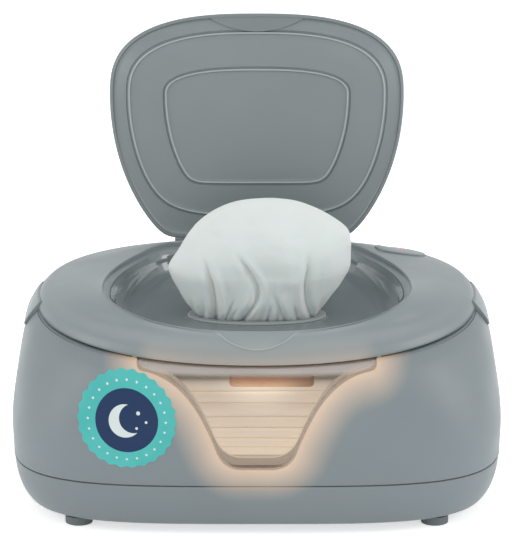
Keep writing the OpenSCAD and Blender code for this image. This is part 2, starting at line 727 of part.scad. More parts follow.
// Thermal fuse in a window of the insulation, against the film
module thermal_fuse() {
    color([0.8, 0.8, 0.76]) translate([-20, -1, film_z - 2.2]) rotate([0, 90, 0]) {
        cylinder(r = 2.1, h = 16, $fn = 32);
        translate([0, 0, -1.8]) cylinder(r = 0.5, h = 19.6, $fn = 16);
    }
}

// Control board on four pillars of the base
board_w = 84;
board_d = 40;
board_z = 11;
board_t = 1.6;
board_y = jack_y - 38.5;
board_screw_r = 1.1;
lead_exit_x = 24;
module board_places() {
    for (sx = [-1, 1], sy = [-1, 1])
        translate([sx * (board_w / 2 - 4), board_y + sy * (board_d / 2 - 4), 0]) children();
}

module control_board() {
    color(board_green) difference() {
        translate([-board_w / 2, board_y - board_d / 2, board_z]) cube([board_w, board_d, board_t]);
        board_places() translate([0, 0, board_z - 1]) cylinder(r = board_screw_r + 0.15, h = 5, $fn = 24);
    }
    color([0.15, 0.15, 0.16]) {
        translate([-28, board_y - 10, board_z + board_t]) cube([12, 10, 2.2]);
        translate([-6, board_y - 12, board_z + board_t]) cube([9, 9, 4.5]);
        translate([lead_exit_x - 4, board_y - 6, board_z + board_t]) cube([8, 5, 4.2]);
        translate([-lead_exit_x - 4, board_y + 8, board_z + board_t]) cube([8, 5, 4.2]);
    }
    color([0.16, 0.2, 0.4]) translate([12, board_y - 8, board_z + board_t]) cylinder(r = 3, h = 6.4,
        $fn = 32);
}

module board_screws() {
    color(steel) board_places() translate([0, 0, board_z + board_t + 1.2]) mirror([0, 0, 1])
        screw(board_screw_r, 2.1, 1.2, 7.2);
}

// Power inlet: a round socket for a tip and sleeve plug, in the rear of the base
module power_inlet() {
    color([0.12, 0.12, 0.13]) difference() {
        union() {
            translate([0, jack_y - 12, jack_z]) rotate([-90, 0, 0]) cylinder(r = jack_flange_r,
                h = 12 - jack_mouth, $fn = 48);
            translate([-jack_body.x / 2, jack_y - 12 - jack_body.y, board_z + board_t])
                cube([jack_body.x, jack_body.y, jack_z - board_z - board_t + 4]);
        }
        translate([0, jack_y - jack_mouth - jack_depth, jack_z]) rotate([-90, 0, 0])
            cylinder(r = jack_r, h = jack_depth * 2, $fn = 48);
    }
}

// Leads that the casings hold all the way
module heater_lead() {
    z0 = board_z + board_t + 4.2;
    y0 = board_y - 3.5;
    color(wire_grey) for (s = [-1, 1]) tube([[lead_exit_x + s * 1.4, y0, z0], [lead_exit_x + s * 1.4, y0,
        z0 + 1.2],
        [lead_exit_x + s * 1.4, y0 - 0.4, film_z - 2.6], [lead_exit_x + s * 1.4, y0 - 1.5, film_z - 1.1],
        [lead_exit_x + s * 1.4, y0 - 6, film_z - 0.8]], 0.7);
}

body_lead_y = cover_axis_y - lead_run;
module body_lead() {
    z0 = board_z + board_t + 4.2;
    color(wire_grey) tube([[-lead_exit_x, board_y + 10.5, z0], [-lead_exit_x, board_y + 10.5, z0 + 1.6],
        [-lead_exit_x + 4, board_y + 16, z0 + 4], [-lead_turn_x - 4, body_lead_y - 6, 24],
        [-lead_turn_x, body_lead_y - 0.6, 34], [-lead_turn_x, body_lead_y + 0.4, 60],
        [-lead_turn_x, body_lead_y, cover_axis_z + body_lead_rise - 6],
        [-lead_turn_x, body_lead_y, cover_axis_z + body_lead_rise],
        [-lead_turn_x, cover_axis_y, cover_axis_z], [-0.2, cover_axis_y, cover_axis_z]], lead_r);
}

foot_stem_r = 2.4;
module foot(sx, sy) {
    color(rubber_dark) translate([sx * foot_x, sy * foot_y, 0]) {
        cylinder(r = foot_r, h = foot_h, $fn = 48);
        cylinder(r = foot_stem_r, h = foot_h + wall + 0.6, $fn = 32);
    }
}

module case_screws() {
    color(steel) at_corners(screw_x, screw_y) translate([0, 0, screw_head_z - screw_head_h])
        screw(screw_r, screw_head_r, screw_head_h, seam_z + 14 - screw_head_z);
}

// Stack of folded wipes in the tub
leaves = 7;
wipe_w = 2 * (tub_a - wipe_gap_x);
wipe_d = 2 * (tub_b - wipe_gap_y);
wipe_corner = wipe_w / 4;
module wipe_stack() {
    leaf = stack_h / leaves;
    color(wipe_white) for (i = [0 : leaves - 1]) {
        inset = 0.8 * (i % 2) + 0.5 * (i % 3);
        translate([0, 0, tub_floor_z + 0.3 + i * leaf]) rounded_slab(wipe_w - inset, wipe_d - inset,
            leaf + (i < leaves - 1 ? tiny : 0), wipe_corner);
    }
}

// Levels of the cover's outside between the seam and the lid recess
shoulder_slope = 0.058;
shoulder_a = rim_a - shoulder_in_x;
shoulder_b = rim_b - shoulder_in_y;
shoulder_z = cover_z + shoulder_h;
hip_level = [rim_a - 2.1, rim_b - 2.4, cover_sq, cover_z + shoulder_h * 0.5, seam_slope * 0.93,
    seam_rise];
shoulder_level = [shoulder_a, shoulder_b, 2.28, shoulder_z, shoulder_slope, seam_rise];
cover_seam_level = [rim_a, rim_b, cover_sq, cover_z, seam_slope, seam_rise];
function mixed(p, q, k, lift) = [for (i = [0 : len(p) - 1]) p[i] + (q[i] - p[i]) * k + [0, 0, lift]];
recess_edge = lifted(slope_ring(recess_outline(0), recess_z, recess_slope), 0);
shoulder_ring = level_ring(shoulder_level);

module top_cover() {
    color(case_grey) difference() {
        union() {
            difference() {
                union() {
                    ring_loft([level_ring(cover_seam_level), level_ring(hip_level), shoulder_ring,
                        mixed(shoulder_ring, recess_edge, 0.5, 0.7), recess_edge, ledge_ring(0, 0),
                        ledge_ring(ledge_w, 0), ledge_ring(ledge_w, -2.2), ledge_ring(lid_gap, -2.2),
                        ledge_ring(-0.6, -2.2), ledge_ring(-wall, -2.2),
                        mixed(level_ring(shoulder_level, wall, -wall), ledge_ring(-wall, -2.2), 0.5,
                            -0.2),
                        level_ring(shoulder_level, wall, -wall), level_ring(hip_level, wall, -0.6),
                        level_ring(cover_seam_level, wall)]);
                    lid_hinge_housing();
                }
                lid_hinge_slots();
                thumb_scoop();
                button_well();
                for (s = [-1, 1]) latch_cut(s, keeper_x + keeper_t);
                barrel_cuts(1);
            }
            barrels(0);
            for (s = [-1, 1]) latch_keeper(s);
            liner_posts();
        }
        hinge_bores();
    }
}

// Rib under the cover that the latch's hook stands behind
module latch_keeper(s) {
    mirror([s < 0 ? 1 : 0, 0, 0]) translate([keeper_x, latch_y - 8, cover_z + 1.2])
        cube([keeper_t, 16, shoulder_h * 0.8]);
}

// Housing of the lid's hinge under the cover, closed below, with two slots for the lid's arms
housing_half = lid_arm_in + lid_arm_w + 5;
module lid_hinge_housing() {
    intersection() {
        translate([-housing_half, recess_rear + 0.4, lid_axis_z - lid_barrel_r - 2.4])
            cube([2 * housing_half, 10, 20]);
        cover_block(-0.2);
    }
}

module lid_hinge_slots() {
    for (s = [-1, 1]) translate([s > 0 ? lid_arm_in : -lid_arm_in - lid_arm_w, 0, 0])
        translate([-side_gap, lid_axis_y, lid_axis_z]) rotate([90, 0, 90])
            linear_extrude(height = lid_arm_w + 2 * side_gap) {
                circle(r = lid_barrel_r + 0.5, $fn = 48);
                intersection() {
                    circle(r = lid_slot_r, $fn = 64);
                    translate([-10, -lid_barrel_r - 0.4]) square([20, 20]);
                }
            }
    translate([-lid_pin_half, lid_axis_y, lid_axis_z]) rotate([0, 90, 0])
        cylinder(r = lid_pin_r + pin_fit, h = 2 * lid_pin_half, $fn = 32);
}

// Everything under the cover's outside, raised or lowered by a lift
module cover_block(lift) {
    loft([flat_ring(oval(rim_a, rim_b, cover_sq), brow_z - 10), level_ring(cover_seam_level, 0, lift),
        level_ring(hip_level, 0, lift), level_ring(shoulder_level, 0, lift),
        mixed(shoulder_ring, recess_edge, 0.5, 0.7 + lift),
        [for (p = recess_edge) p + [0, 0, lift]]]);
}

lid_pin_half = lid_arm_in + lid_arm_w + 3.4;
module lid_hinge_pin() {
    color(steel) translate([-lid_pin_half + 0.2, lid_axis_y, lid_axis_z]) rotate([0, 90, 0])
        cylinder(r = lid_pin_r, h = 2 * lid_pin_half - 0.4, $fn = 32);
}

// Shallow round dish in front of the lid recess, for a thumb under the lid
scoop_front_z = cover_z - seam_slope * (recess_front + scoop_reach) + shoulder_h * 0.8;
scoop_rear_z = recess_z - recess_slope * recess_front - scoop_depth;
module thumb_scoop() {
    translate([0, -recess_front - scoop_reach, scoop_front_z])
        rotate([atan((scoop_rear_z - scoop_front_z) / scoop_reach), 0, 0])
            translate([0, scoop_r, 0]) cylinder(r = scoop_r, h = 20, $fn = 96);
}

// Bowl that the wipes come up through, held by its flange under the ledge
bowl_t = 2;
bowl_y = -4;
function slot_outline(d) = [for (p = oval(slot_a + d, slot_b + d, 2.2)) [p.x, p.y + bowl_y]];
bowl_floor_z = ledge_height(bowl_y) - bowl_h;
module dispensing_bowl() {
    edge = ledge_w + 0.3;
    color(bowl_grey) difference() {
        ring_loft([ledge_ring(edge, 0), ledge_ring(edge + 1.6, -2), ledge_ring(edge + 2.6, -6),
            ledge_ring(edge + 4.6, -9.6), ledge_ring(edge + 9, -11.8), ledge_ring(edge + 16, -12.6),
            flat_ring(slot_outline(7), bowl_floor_z), flat_ring(slot_outline(2.2), bowl_floor_z),
            flat_ring(slot_outline(2.2), bowl_floor_z - bowl_t), flat_ring(slot_outline(7),
                bowl_floor_z - bowl_t),
            ledge_ring(edge + 15.4, -12.6 - bowl_t), ledge_ring(edge + 8, -13.6), ledge_ring(edge + 3,
                -10.8),
            ledge_ring(edge + 0.8, -6.4), ledge_ring(edge + 0.3, -4.2), ledge_ring(lid_gap, -4.2),
            ledge_ring(-0.6, -4.2),
            ledge_ring(-0.6, -2.4), ledge_ring(lid_gap, -2.4), ledge_ring(edge, -2.4)]);
        translate([-30, recess_rear - 2.6, 80]) cube([60, 20, 40]);
    }
}

// Soft ring that grips the wipe in the bowl's slot
module slot_ring() {
    color([0.36, 0.39, 0.41]) ring_loft([flat_ring(slot_outline(5), bowl_floor_z + 0.05),
        flat_ring(slot_outline(4.4), bowl_floor_z + 0.9), flat_ring(slot_outline(0.4),
            bowl_floor_z + 0.7),
        flat_ring(slot_outline(0), bowl_floor_z - bowl_t - 0.6), flat_ring(slot_outline(2),
            bowl_floor_z - bowl_t - 0.6),
        flat_ring(slot_outline(2), bowl_floor_z + 0.05)]);
}

// Panel that closes the cover from below
liner_t = 1.8;
liner_in = 4.2;
module cover_liner() {
    color([0.6, 0.63, 0.64]) difference() {
        union() {
            ring_loft([seam_ring(oval(rim_a - wall - 2.2, rim_b - wall - 2.2, cover_sq), liner_dz),
                seam_ring(oval(rim_a - wall - 2.2, rim_b - wall - 2.2, cover_sq), liner_dz + liner_t),
                seam_ring(recess_outline(liner_in), liner_dz + liner_t),
                    seam_ring(recess_outline(liner_in), liner_dz)]);
            button_at() translate([0, 0, button_board_z - 1.6]) linear_extrude(height = 1.55)
                square([16, 9], center = true);
        }
        for (s = [-1, 1]) mirror([s < 0 ? 1 : 0, 0, 0])
            translate([hook_x - latch_travel - 0.5, latch_y - latch_w / 2 - 3, 70]) cube([40,
                latch_w + 6, 60]);
        translate([-mid_l - 6, cover_axis_y - 9, 80]) cube([2 * mid_l + 12, 20, 60]);
        translate([-housing_half - 0.4, recess_rear, 80]) cube([2 * housing_half + 0.8, 11, 60]);
        for (s = [-1, 1]) translate([s * hinge_x - barrel_l * 2, cover_axis_y - 9, 80])
            cube([barrel_l * 4, 20, 60]);
        translate([lamp_x - lamp_w / 2 + 4, lamp_y + 2, 70]) cube([lamp_w - 8, lamp_d - 4, 40]);
        liner_places() cylinder(r = 1.3, h = 200, $fn = 24);
    }
}

// Places of the screws that hold the liner, with the height of its underside there
liner_side_x = lid_a + 5.8;
liner_front_y = recess_front + 1.7;
liner_rear_y = recess_rear + 6;
liner_side_y = 48.2 - rim_b;
liner_front_x = rim_a * 0.44;
liner_rear_x = 40;
liner_spots = [[liner_side_x, liner_side_y], [-liner_side_x, liner_side_y], [liner_rear_x, liner_rear_y],
    [-liner_rear_x, liner_rear_y], [liner_front_x, -liner_front_y], [-liner_front_x, -liner_front_y]];
module liner_places() {
    for (p = liner_spots) translate([p.x, p.y, 0]) children();
}

module liner_posts() {
    difference() {
        intersection() {
            for (p = liner_spots) translate([p.x, p.y, seam_height(p.x, p.y) + liner_dz + liner_t + 0.5])
                cylinder(r = 2.8, h = 20, $fn = 32);
            cover_block(-wall / 2);
        }
        for (p = liner_spots) translate([p.x, p.y, 80])
            cylinder(r = 1.05, h = seam_height(p.x, p.y) - 80 + liner_dz + liner_t + 4, $fn = 24);
    }
}

module liner_screws() {
    color(steel) for (p = liner_spots) translate([p.x, p.y, seam_height(p.x, p.y) + liner_dz - 1.7])
        screw(1, 2.2, 1.4, 6);
}

// Lamp: a housing under the front of the liner, its board and its amber light bar
lamp_x = 7.5;
lamp_w = 43;
lamp_y = 8.7 - rim_b;
lamp_d = 8;
lamp_low_z = 75.5;
lamp_split_z = 83.6;
lamp_wall = 1.4;
module lamp_box(d, z0, z1) {
    translate([lamp_x - lamp_w / 2 + d, lamp_y + d, z0]) cube([lamp_w - 2 * d, lamp_d - 2 * d, z1 - z0]);
}

module lamp_housing() {
    color([0.3, 0.22, 0.18]) difference() {
        union() {
            intersection() {
                lamp_box(0, lamp_split_z, cover_z);
                below_cover(0.05 - liner_dz);
            }
            translate([lamp_x - lamp_w / 2 + 4.2, lamp_y + 2.2, lamp_split_z + 4])
                cube([lamp_w - 8.4, lamp_d - 4.4, cover_z + seam_slope * lamp_y - lamp_split_z - 2.8]);
        }
        lamp_box(lamp_wall, lamp_split_z - 1, lamp_split_z + 3.8);
        translate([lamp_lead_x, lamp_y + lamp_d / 2, lamp_split_z]) cylinder(r = 1.3, h = 20, $fn = 24);
    }
}

lamp_lead_x = 18;
module lamp_board() {
    color(board_green) difference() {
        lamp_box(lamp_wall + 0.15, lamp_split_z + 2.4, lamp_split_z + 3.6);
        translate([lamp_lead_x, lamp_y + lamp_d / 2, lamp_split_z]) cylinder(r = 1.3, h = 20, $fn = 24);
    }
    color([0.95, 0.85, 0.5]) for (i = [-1.5 : 1 : 1.5]) translate([lamp_x + i * 9 - 1.5,
        lamp_y + lamp_d / 2 - 1.5, lamp_split_z + 1.2])
        cube([3, 3, 1.2]);
}

module lamp_diffuser() {
    color([0.92, 0.52, 0.2]) {
        lamp_box(0, lamp_low_z, lamp_split_z - 0.05);
        lamp_box(lamp_wall + 0.1, lamp_split_z - 0.1, lamp_split_z + 0.9);
    }
}

// Night light button on the right of the lid, over a small switch board on the liner
button_x = rim_a - button_in_x;
button_y = rim_b - button_in_y;
button_turn = -20;
button_proud = 0.9;
button_board_slope = 0.04;
button_board_z = recess_z - 5.5 + button_board_slope * button_y;
button_low_z = button_board_z + button_travel + 0.85;
button_roof_z = button_board_z + 4.5;
button_wall = 1.6;
module button_at() {
    translate([button_x, button_y, 0]) rotate([0, 0, button_turn]) children();
}

module button_prism(d, z0, z1) {
    button_at() translate([0, 0, z0]) linear_extrude(height = z1 - z0)
        polygon(oval(button_w / 2 + d, button_d / 2 + d, 2.3));
}

module button_well() {
    button_prism(0.35, button_low_z - 4, cover_z + 30);
    button_prism(1.3, button_low_z - 4, button_low_z + 1.3);
}

module night_light_button() {
    color(lid_grey) difference() {
        union() {
            intersection() {
                button_prism(0, button_low_z, cover_z + 30);
                cover_block(button_proud);
            }
            button_prism(0.9, button_low_z, button_low_z + 1);
        }
        difference() {
            button_prism(-button_wall, button_low_z - 1, button_roof_z);
            button_at() cylinder(r = 1.3, h = 200, $fn = 24);
        }
        button_at() translate([0, 0, button_low_z - 1]) cylinder(r = 1.5, h = 2.4, $fn = 24);
        button_at() translate([0, 0, lens_z - 0.05]) cylinder(r = lens_r + 0.05, h = 20, $fn = 48);
    }
}

lens_r = 2.6;
lens_z = button_roof_z + 0.7;
module indicator_lens() {
    color([0.8, 0.6, 0.62]) intersection() {
        button_at() translate([0, 0, lens_z]) cylinder(r = lens_r, h = 20, $fn = 48);
        cover_block(button_proud + 0.1);
    }
}

module button_board() {
    color(board_green) button_at() translate([-7, -4, button_board_z]) cube([14, 8, 0.8]);
    color([0.15, 0.15, 0.16]) button_at() translate([0, 0, button_board_z + 0.8 - tiny]) {
        translate([-1.75, -1.75, 0]) cube([3.5, 3.5, 1.1]);
        cylinder(r = 1, h = 1.35, $fn = 24);
    }
}

module button_spring() {
    color(steel) button_at() translate([0, 0, button_board_z + 0.8 + spring_wire / 2 + 0.03])
        tube(coil(3.1, button_roof_z - button_board_z - 0.8 - spring_wire - 0.06, 2), spring_wire / 2, 6);
}

// Lead from the hinge round the lid recess to the button's board and on to the lamp
function from_rim(dx, dy) = [rim_a - dx, dy - rim_b];
function from_button(dx, dy) = [button_x + dx, button_y + dy];
cover_lead_spots = [[lead_turn_x + 0.5, rim_b - 8.4], [16, rim_b - 8.4], [31, rim_b - 9.2], [44,
    rim_b - 12.2],
    from_button(-22, 13), from_button(-18.5, 5), from_button(-15.5, -3), from_button(-6, -11.5),
    from_button(4, -19), [rim_a - 23.8, 18], [rim_a - 20.8, 2], [rim_a - 22.3, -22], [rim_a - 23.3, -30],
    from_rim(27.8, 42.2), from_rim(36.8, 34.2), from_rim(47.8, 27.2), from_rim(67.8, 21.7),
        from_rim(83.8, 16.2)];
cover_lead_dz = 1.7;
branch_r = 0.45;
module cover_lead() {
    lamp_mid_y = lamp_y + lamp_d / 2;
    color(wire_grey) {
        tube(concat([[0.2, cover_axis_y, cover_axis_z], [lead_turn_x, cover_axis_y, cover_axis_z],
            [lead_turn_x, cover_axis_y - lead_run, cover_axis_z + cover_lead_rise]],
            [for (p = cover_lead_spots) [p.x, p.y, seam_height(p.x, p.y) + cover_lead_dz]],
            [[lamp_lead_x + 1.5, lamp_mid_y, seam_height(lamp_lead_x, lamp_mid_y) + 2.6],
            [lamp_lead_x, lamp_mid_y, seam_height(lamp_lead_x, lamp_mid_y) + 1.6],
            [lamp_lead_x, lamp_mid_y, lamp_split_z + 3.7]]), lead_r);
        tube([for (e = [[from_button(-15.5, -3), seam_height(button_x - 15.5, button_y - 3)
            + cover_lead_dz],
            [from_button(-11, 0), button_board_z - 0.4], [from_button(-7.2, 2.45),
                button_board_z + 0.47]])
            [e[0].x, e[0].y, e[1]]], branch_r);
    }
}

// Wipe that stands ready in the bowl: a gathered sheet whose folds open towards its top
wipe_t = 2.4;
wipe_cols = 26;
wipe_rows = 14;
wipe_tail = 6;
wipe_fan = 46;
wipe_neck = slot_a - 0.6;
function wipe_half(v) = v < 0 ? wipe_neck
    : sqrt(1 - 0.93 * pow(v, 3.4)) * (wipe_neck + (wipe_fan - wipe_neck) * sin(min(90, v * 230)));
function wipe_front(u, v) = let (w = max(0, v)) bowl_y + 9 * w - wipe_t / 2
    + (1 - pow(abs(u), 3)) * ((6.5 - 5 * w) * sin(400 * u + 60 * w) - 10 * sin(180 * min(1, w * 1.1))
        * (1 - u * u));
module raised_wipe() {
    cols = wipe_cols;
    levels = concat([-1], [for (j = [0 : wipe_rows]) j / wipe_rows]);
    rings = [for (v = levels) let (a = wipe_half(v),
        z = v < 0 ? bowl_floor_z - wipe_tail : bowl_floor_z + 1.6 + (wipe_h - 1.6) * v)
        concat([for (i = [0 : cols]) let (u = 2 * i / cols - 1) [u * a + 1.5 * max(0, v), wipe_front(u,
            v), z]],
            [for (i = [cols : -1 : 0]) let (u = 2 * i / cols - 1)
                [u * a + 1.5 * max(0, v), wipe_front(u, v) + wipe_t, z]])];
    color(wipe_white) loft(rings);
}

// The lid is drawn closed and then turned to the open position that it rests in
module opened() {
    translate([0, lid_axis_y, lid_axis_z]) rotate([-lid_open, 0, 0]) translate([0, -lid_axis_y,
        -lid_axis_z])
        children();
}

function lid_ring(d, h, corner = 30) =
    lifted(slope_ring(lid_outline(d, corner), ledge_z + lid_lift + h, ledge_slope), d);
lid_rings_in = [26, 14, 11, 8, 5];
tab_r = 48.5;
tab_depth = 9.6;
module tab_cylinder(d) {
    translate([0, -lid_front + tab_depth - tab_r, 50]) cylinder(r = tab_r + d, h = 100, $fn = 128);
}

module lid_shell() {
    color(lid_grey) opened() difference() {
        union() {
            difference() {
                loft([lid_ring(26, 0), lid_ring(0, 0), lid_ring(0.2, 2.6),
                    lid_ring(1.4, lid_crown - 2.6), lid_ring(4, lid_crown - 1.4),
                    lid_ring(10, lid_crown - 0.6), lid_ring(14, lid_crown - 0.45),
                    lid_ring(26, lid_crown)]);
                loft([lid_ring(26, -1), lid_ring(lid_t, -1), lid_ring(lid_t, 0.5),
                    lid_ring(lid_t + 0.2, 2.6), lid_ring(lid_t + 2.4, lid_crown - lid_t - 1.2),
                    lid_ring(lid_t + 8, lid_crown - lid_t - 0.6),
                    lid_ring(lid_t + 12, lid_crown - lid_t - 0.45),
                    lid_ring(26, lid_crown - lid_t)]);
            }
            intersection() {
                tab_cylinder(0);
                loft([lid_ring(26, 0.5), lid_ring(lid_t / 2, 0.5), lid_ring(lid_t / 2, 2.5),
                    lid_ring(26, 2.5)]);
            }
            for (s = [-1, 1]) translate([s > 0 ? lid_arm_in : -lid_arm_in - lid_arm_w, lid_axis_y,
                lid_axis_z])
                rotate([90, 0, 90]) linear_extrude(height = lid_arm_w) {
                    circle(r = lid_barrel_r, $fn = 48);
                    polygon([[-1.7, -1.9], [-6.9, 3.75], [-6.9, 5.3], [-4.6, 5.4], [2.3, 1.2]]);
                }
        }
        translate([-lid_pin_half, lid_axis_y, lid_axis_z]) rotate([0, 90, 0])
            cylinder(r = lid_pin_r + pin_fit, h = 2 * lid_pin_half, $fn = 32);
    }
}

// Inner panel of the lid with its two raised beads
panel_low = 1.5;
module bead_ring(d, corner) {
    ring_loft([lid_ring(d - bead / 2, panel_low - bead * 0.3, corner), lid_ring(d - bead / 2,
        panel_low + 0.3, corner),
        lid_ring(d + bead / 2, panel_low + 0.3, corner), lid_ring(d + bead / 2, panel_low - bead * 0.3,
            corner),
        lid_ring(d + bead / 4, panel_low - bead * 0.6, corner), lid_ring(d - bead / 4,
            panel_low - bead * 0.6, corner)]);
}

inner_bead_in = 30;
module lid_liner() {
    color(lid_grey) opened() difference() {
        union() {
            loft(concat([for (d = lid_rings_in) lid_ring(d, panel_low)],
                [lid_ring(lid_t + 0.35, panel_low), lid_ring(lid_t + 0.45, panel_low + 1.1)],
                [for (i = [1 : len(lid_rings_in)])
                    lid_ring(lid_rings_in[len(lid_rings_in) - i], panel_low + 1.1)]));
            bead_ring(bead_in, 6);
            bead_ring(inner_bead_in, 14);
        }
        tab_cylinder(0.2);
    }
}

base_shell();
body_shell();
viewing_window();
window_tunnel();
inner_tub();
tub_gasket();
heater_plate();
heater_film();
heater_insulation();
heater_screws();
thermal_fuse();
control_board();
board_screws();
power_inlet();
heater_lead();
body_lead();
foot(-1, -1);  // foot_front_left
foot(1, -1);  // foot_front_right
foot(-1, 1);  // foot_rear_left
foot(1, 1);  // foot_rear_right
case_screws();
hinge_pin(-1);  // left_hinge_pin
hinge_pin(1);  // right_hinge_pin
wipe_stack();
top_cover();
dispensing_bowl();
slot_ring();
cover_liner();
liner_screws();
lamp_housing();
lamp_board();
lamp_diffuser();
button_board();
cover_lead();
lid_hinge_pin();
raised_wipe();
lid_shell();
lid_liner();
night_light_button();
indicator_lens();
button_spring();
latch(-1);  // left_latch
latch(1);  // right_latch
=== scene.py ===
"""Looks of a baby wipe warmer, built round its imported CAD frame. Blender 4.5, metres.

Lengths in this file are millimetres until mm() or a finished piece turns them into metres.
+X is the viewer's right, the front faces -Y and +Z is up, as in the CAD.
"""
import math
import bpy
import bmesh
from mathutils import Matrix, Vector
from mathutils.bvhtree import BVHTree
from mathutils.kdtree import KDTree
from mathutils.noise import noise as soft_noise


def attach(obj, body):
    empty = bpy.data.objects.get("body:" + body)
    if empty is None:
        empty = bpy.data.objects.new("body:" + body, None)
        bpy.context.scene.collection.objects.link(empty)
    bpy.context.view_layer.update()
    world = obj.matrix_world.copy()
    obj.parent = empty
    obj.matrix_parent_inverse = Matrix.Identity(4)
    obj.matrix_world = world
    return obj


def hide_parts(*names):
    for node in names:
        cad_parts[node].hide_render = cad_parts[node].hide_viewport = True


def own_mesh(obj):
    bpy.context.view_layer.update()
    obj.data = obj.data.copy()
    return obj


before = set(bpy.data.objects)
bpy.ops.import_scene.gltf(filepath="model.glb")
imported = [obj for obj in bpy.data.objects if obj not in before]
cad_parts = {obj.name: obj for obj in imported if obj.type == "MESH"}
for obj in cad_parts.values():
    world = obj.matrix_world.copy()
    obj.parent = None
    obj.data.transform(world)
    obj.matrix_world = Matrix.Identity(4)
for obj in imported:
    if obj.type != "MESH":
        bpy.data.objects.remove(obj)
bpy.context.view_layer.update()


def mm(*values):
    return Vector(values) * 0.001


def placed(name, data):
    """A new object of the scene that shows a mesh, a lamp or a camera."""
    thing = bpy.data.objects.new(name, data)
    bpy.context.scene.collection.objects.link(thing)
    return thing


# Camera: the photograph's viewpoint, 17.5 degrees above the table and 2.2 m away
LOOK_AT, AWAY, TILT = mm(0, 0, 113.8), 2.2, math.radians(17.5)
camera_data = bpy.data.cameras.new("camera")
camera_data.sensor_fit = "HORIZONTAL"
camera_data.sensor_width = 36
camera_data.lens = 296.2
camera_data.shift_x = 0.0023
camera_data.clip_end = 30
camera = placed("camera", camera_data)
camera.location = LOOK_AT + Vector((0, -AWAY * math.cos(TILT), AWAY * math.sin(TILT)))
camera.rotation_euler = (math.pi / 2 - TILT, 0, 0)
bpy.context.scene.camera = camera
bpy.context.scene.view_settings.view_transform = "Standard"


# ---- Materials -------------------------------------------------------------------------

def linear(red, green, blue):
    """A colour given as 0 to 255, as the linear values that a shader takes."""
    return tuple((c / 255 / 12.92) if c <= 10 else ((c / 255 + 0.055) / 1.055) ** 2.4
                 for c in (red, green, blue)) + (1.0,)


class Finish:
    """One material under construction: its node tree and its shader."""

    def __init__(self, name, colour, rough, **settings):
        self.material = bpy.data.materials.new(name)
        self.material.use_nodes = True
        self.tree = self.material.node_tree
        self.shader = self.tree.nodes["Principled BSDF"]
        self.colour = colour
        self.place = self.add("ShaderNodeTexCoord").outputs["Object"]
        self.shader.inputs["Base Color"].default_value = colour
        self.shader.inputs["Roughness"].default_value = rough
        for key, value in settings.items():
            self.shader.inputs[key.replace("_", " ")].default_value = value
        self.rough = rough

    def add(self, kind, **links):
        made = self.tree.nodes.new(kind)
        for key, value in links.items():
            self.feed(made.inputs[key.replace("_", " ")], value)
        return made

    def feed(self, socket, value):
        if isinstance(value, bpy.types.NodeSocket):
            self.tree.links.new(value, socket)
        else:
            socket.default_value = value

    def noise(self, scale, detail=3.0, roughness=0.5, stretch=None):
        place = self.place
        if stretch:
            mapped = self.add("ShaderNodeMapping", Vector=place)
            mapped.inputs["Scale"].default_value = stretch
            place = mapped.outputs[0]
        return self.add("ShaderNodeTexNoise", Vector=place, Scale=scale, Detail=detail,
                        Roughness=roughness).outputs[0]

    def math(self, operation, a, b=0.0, c=0.0, clamp=False):
        made = self.tree.nodes.new("ShaderNodeMath")
        made.operation = operation
        made.use_clamp = clamp
        for socket, value in zip(made.inputs, (a, b, c)):
            self.feed(socket, value)
        return made.outputs[0]

    def remap(self, value, low, high, to_low, to_high, smooth=False):
        made = self.tree.nodes.new("ShaderNodeMapRange")
        if smooth:
            made.interpolation_type = "SMOOTHSTEP"
        for socket, item in zip(made.inputs, (value, low, high, to_low, to_high)):
            self.feed(socket, item)
        return made.outputs[0]

    def blend(self, factor, a, b):
        made = self.tree.nodes.new("ShaderNodeMix")
        made.data_type = "RGBA"
        self.feed(made.inputs[0], factor)
        self.feed(made.inputs[6], a)
        self.feed(made.inputs[7], b)
        return made.outputs[2]

    def times(self, a, b):
        return self.math("MULTIPLY", a, b)

    def plus(self, a, b):
        return self.math("ADD", a, b)

    def less(self, a, b):
        return self.math("SUBTRACT", a, b)

    def span(self, a, b):
        """Length of a step with these two parts."""
        return self.math("SQRT", self.plus(self.times(a, a), self.times(b, b)))

    def xyz(self):
        return self.add("ShaderNodeSeparateXYZ", Vector=self.place).outputs

    def marked(self, name):
        """The value that the mesh keeps at each point under a name."""
        mark = self.add("ShaderNodeAttribute")
        mark.attribute_name = name
        return mark.outputs["Fac"]

    def paint(self, value):
        self.feed(self.shader.inputs["Base Color"], value)

    def vary(self, amount, scale=14.0):
        """Cloudy variation of the colour by an amount either way."""
        dark = tuple(c * (1 - amount) for c in self.colour[:3]) + (1.0,)
        light = tuple(min(1.0, c * (1 + amount)) for c in self.colour[:3]) + (1.0,)
        mixed = self.blend(self.remap(self.noise(scale), 0.3, 0.7, 0.0, 1.0), dark, light)
        self.paint(mixed)
        return mixed

    def polish(self, spread, scale=60.0):
        """Roughness that wanders either side of its value."""
        low, high = max(0.02, self.rough - spread), min(1.0, self.rough + spread)
        self.feed(self.shader.inputs["Roughness"],
                  self.remap(self.noise(scale, 4.0), 0.3, 0.7, low, high))

    def bump(self, height, strength, distance):
        made = self.add("ShaderNodeBump", Height=height, Strength=strength, Distance=distance)
        self.feed(self.shader.inputs["Normal"], made.outputs[0])
        return made

    def glow(self, colour, strength):
        self.feed(self.shader.inputs["Emission Color"], colour)
        self.feed(self.shader.inputs["Emission Strength"], strength)


def moulded(name, colour, rough, grain=1500.0, depth=0.12, **settings):
    """Satin moulded plastic with a fine spark-eroded grain."""
    made = Finish(name, colour, rough, **settings)
    made.vary(0.035)
    made.polish(0.05)
    made.bump(made.noise(grain, 2.0, 0.6), depth, 0.00012)
    return made


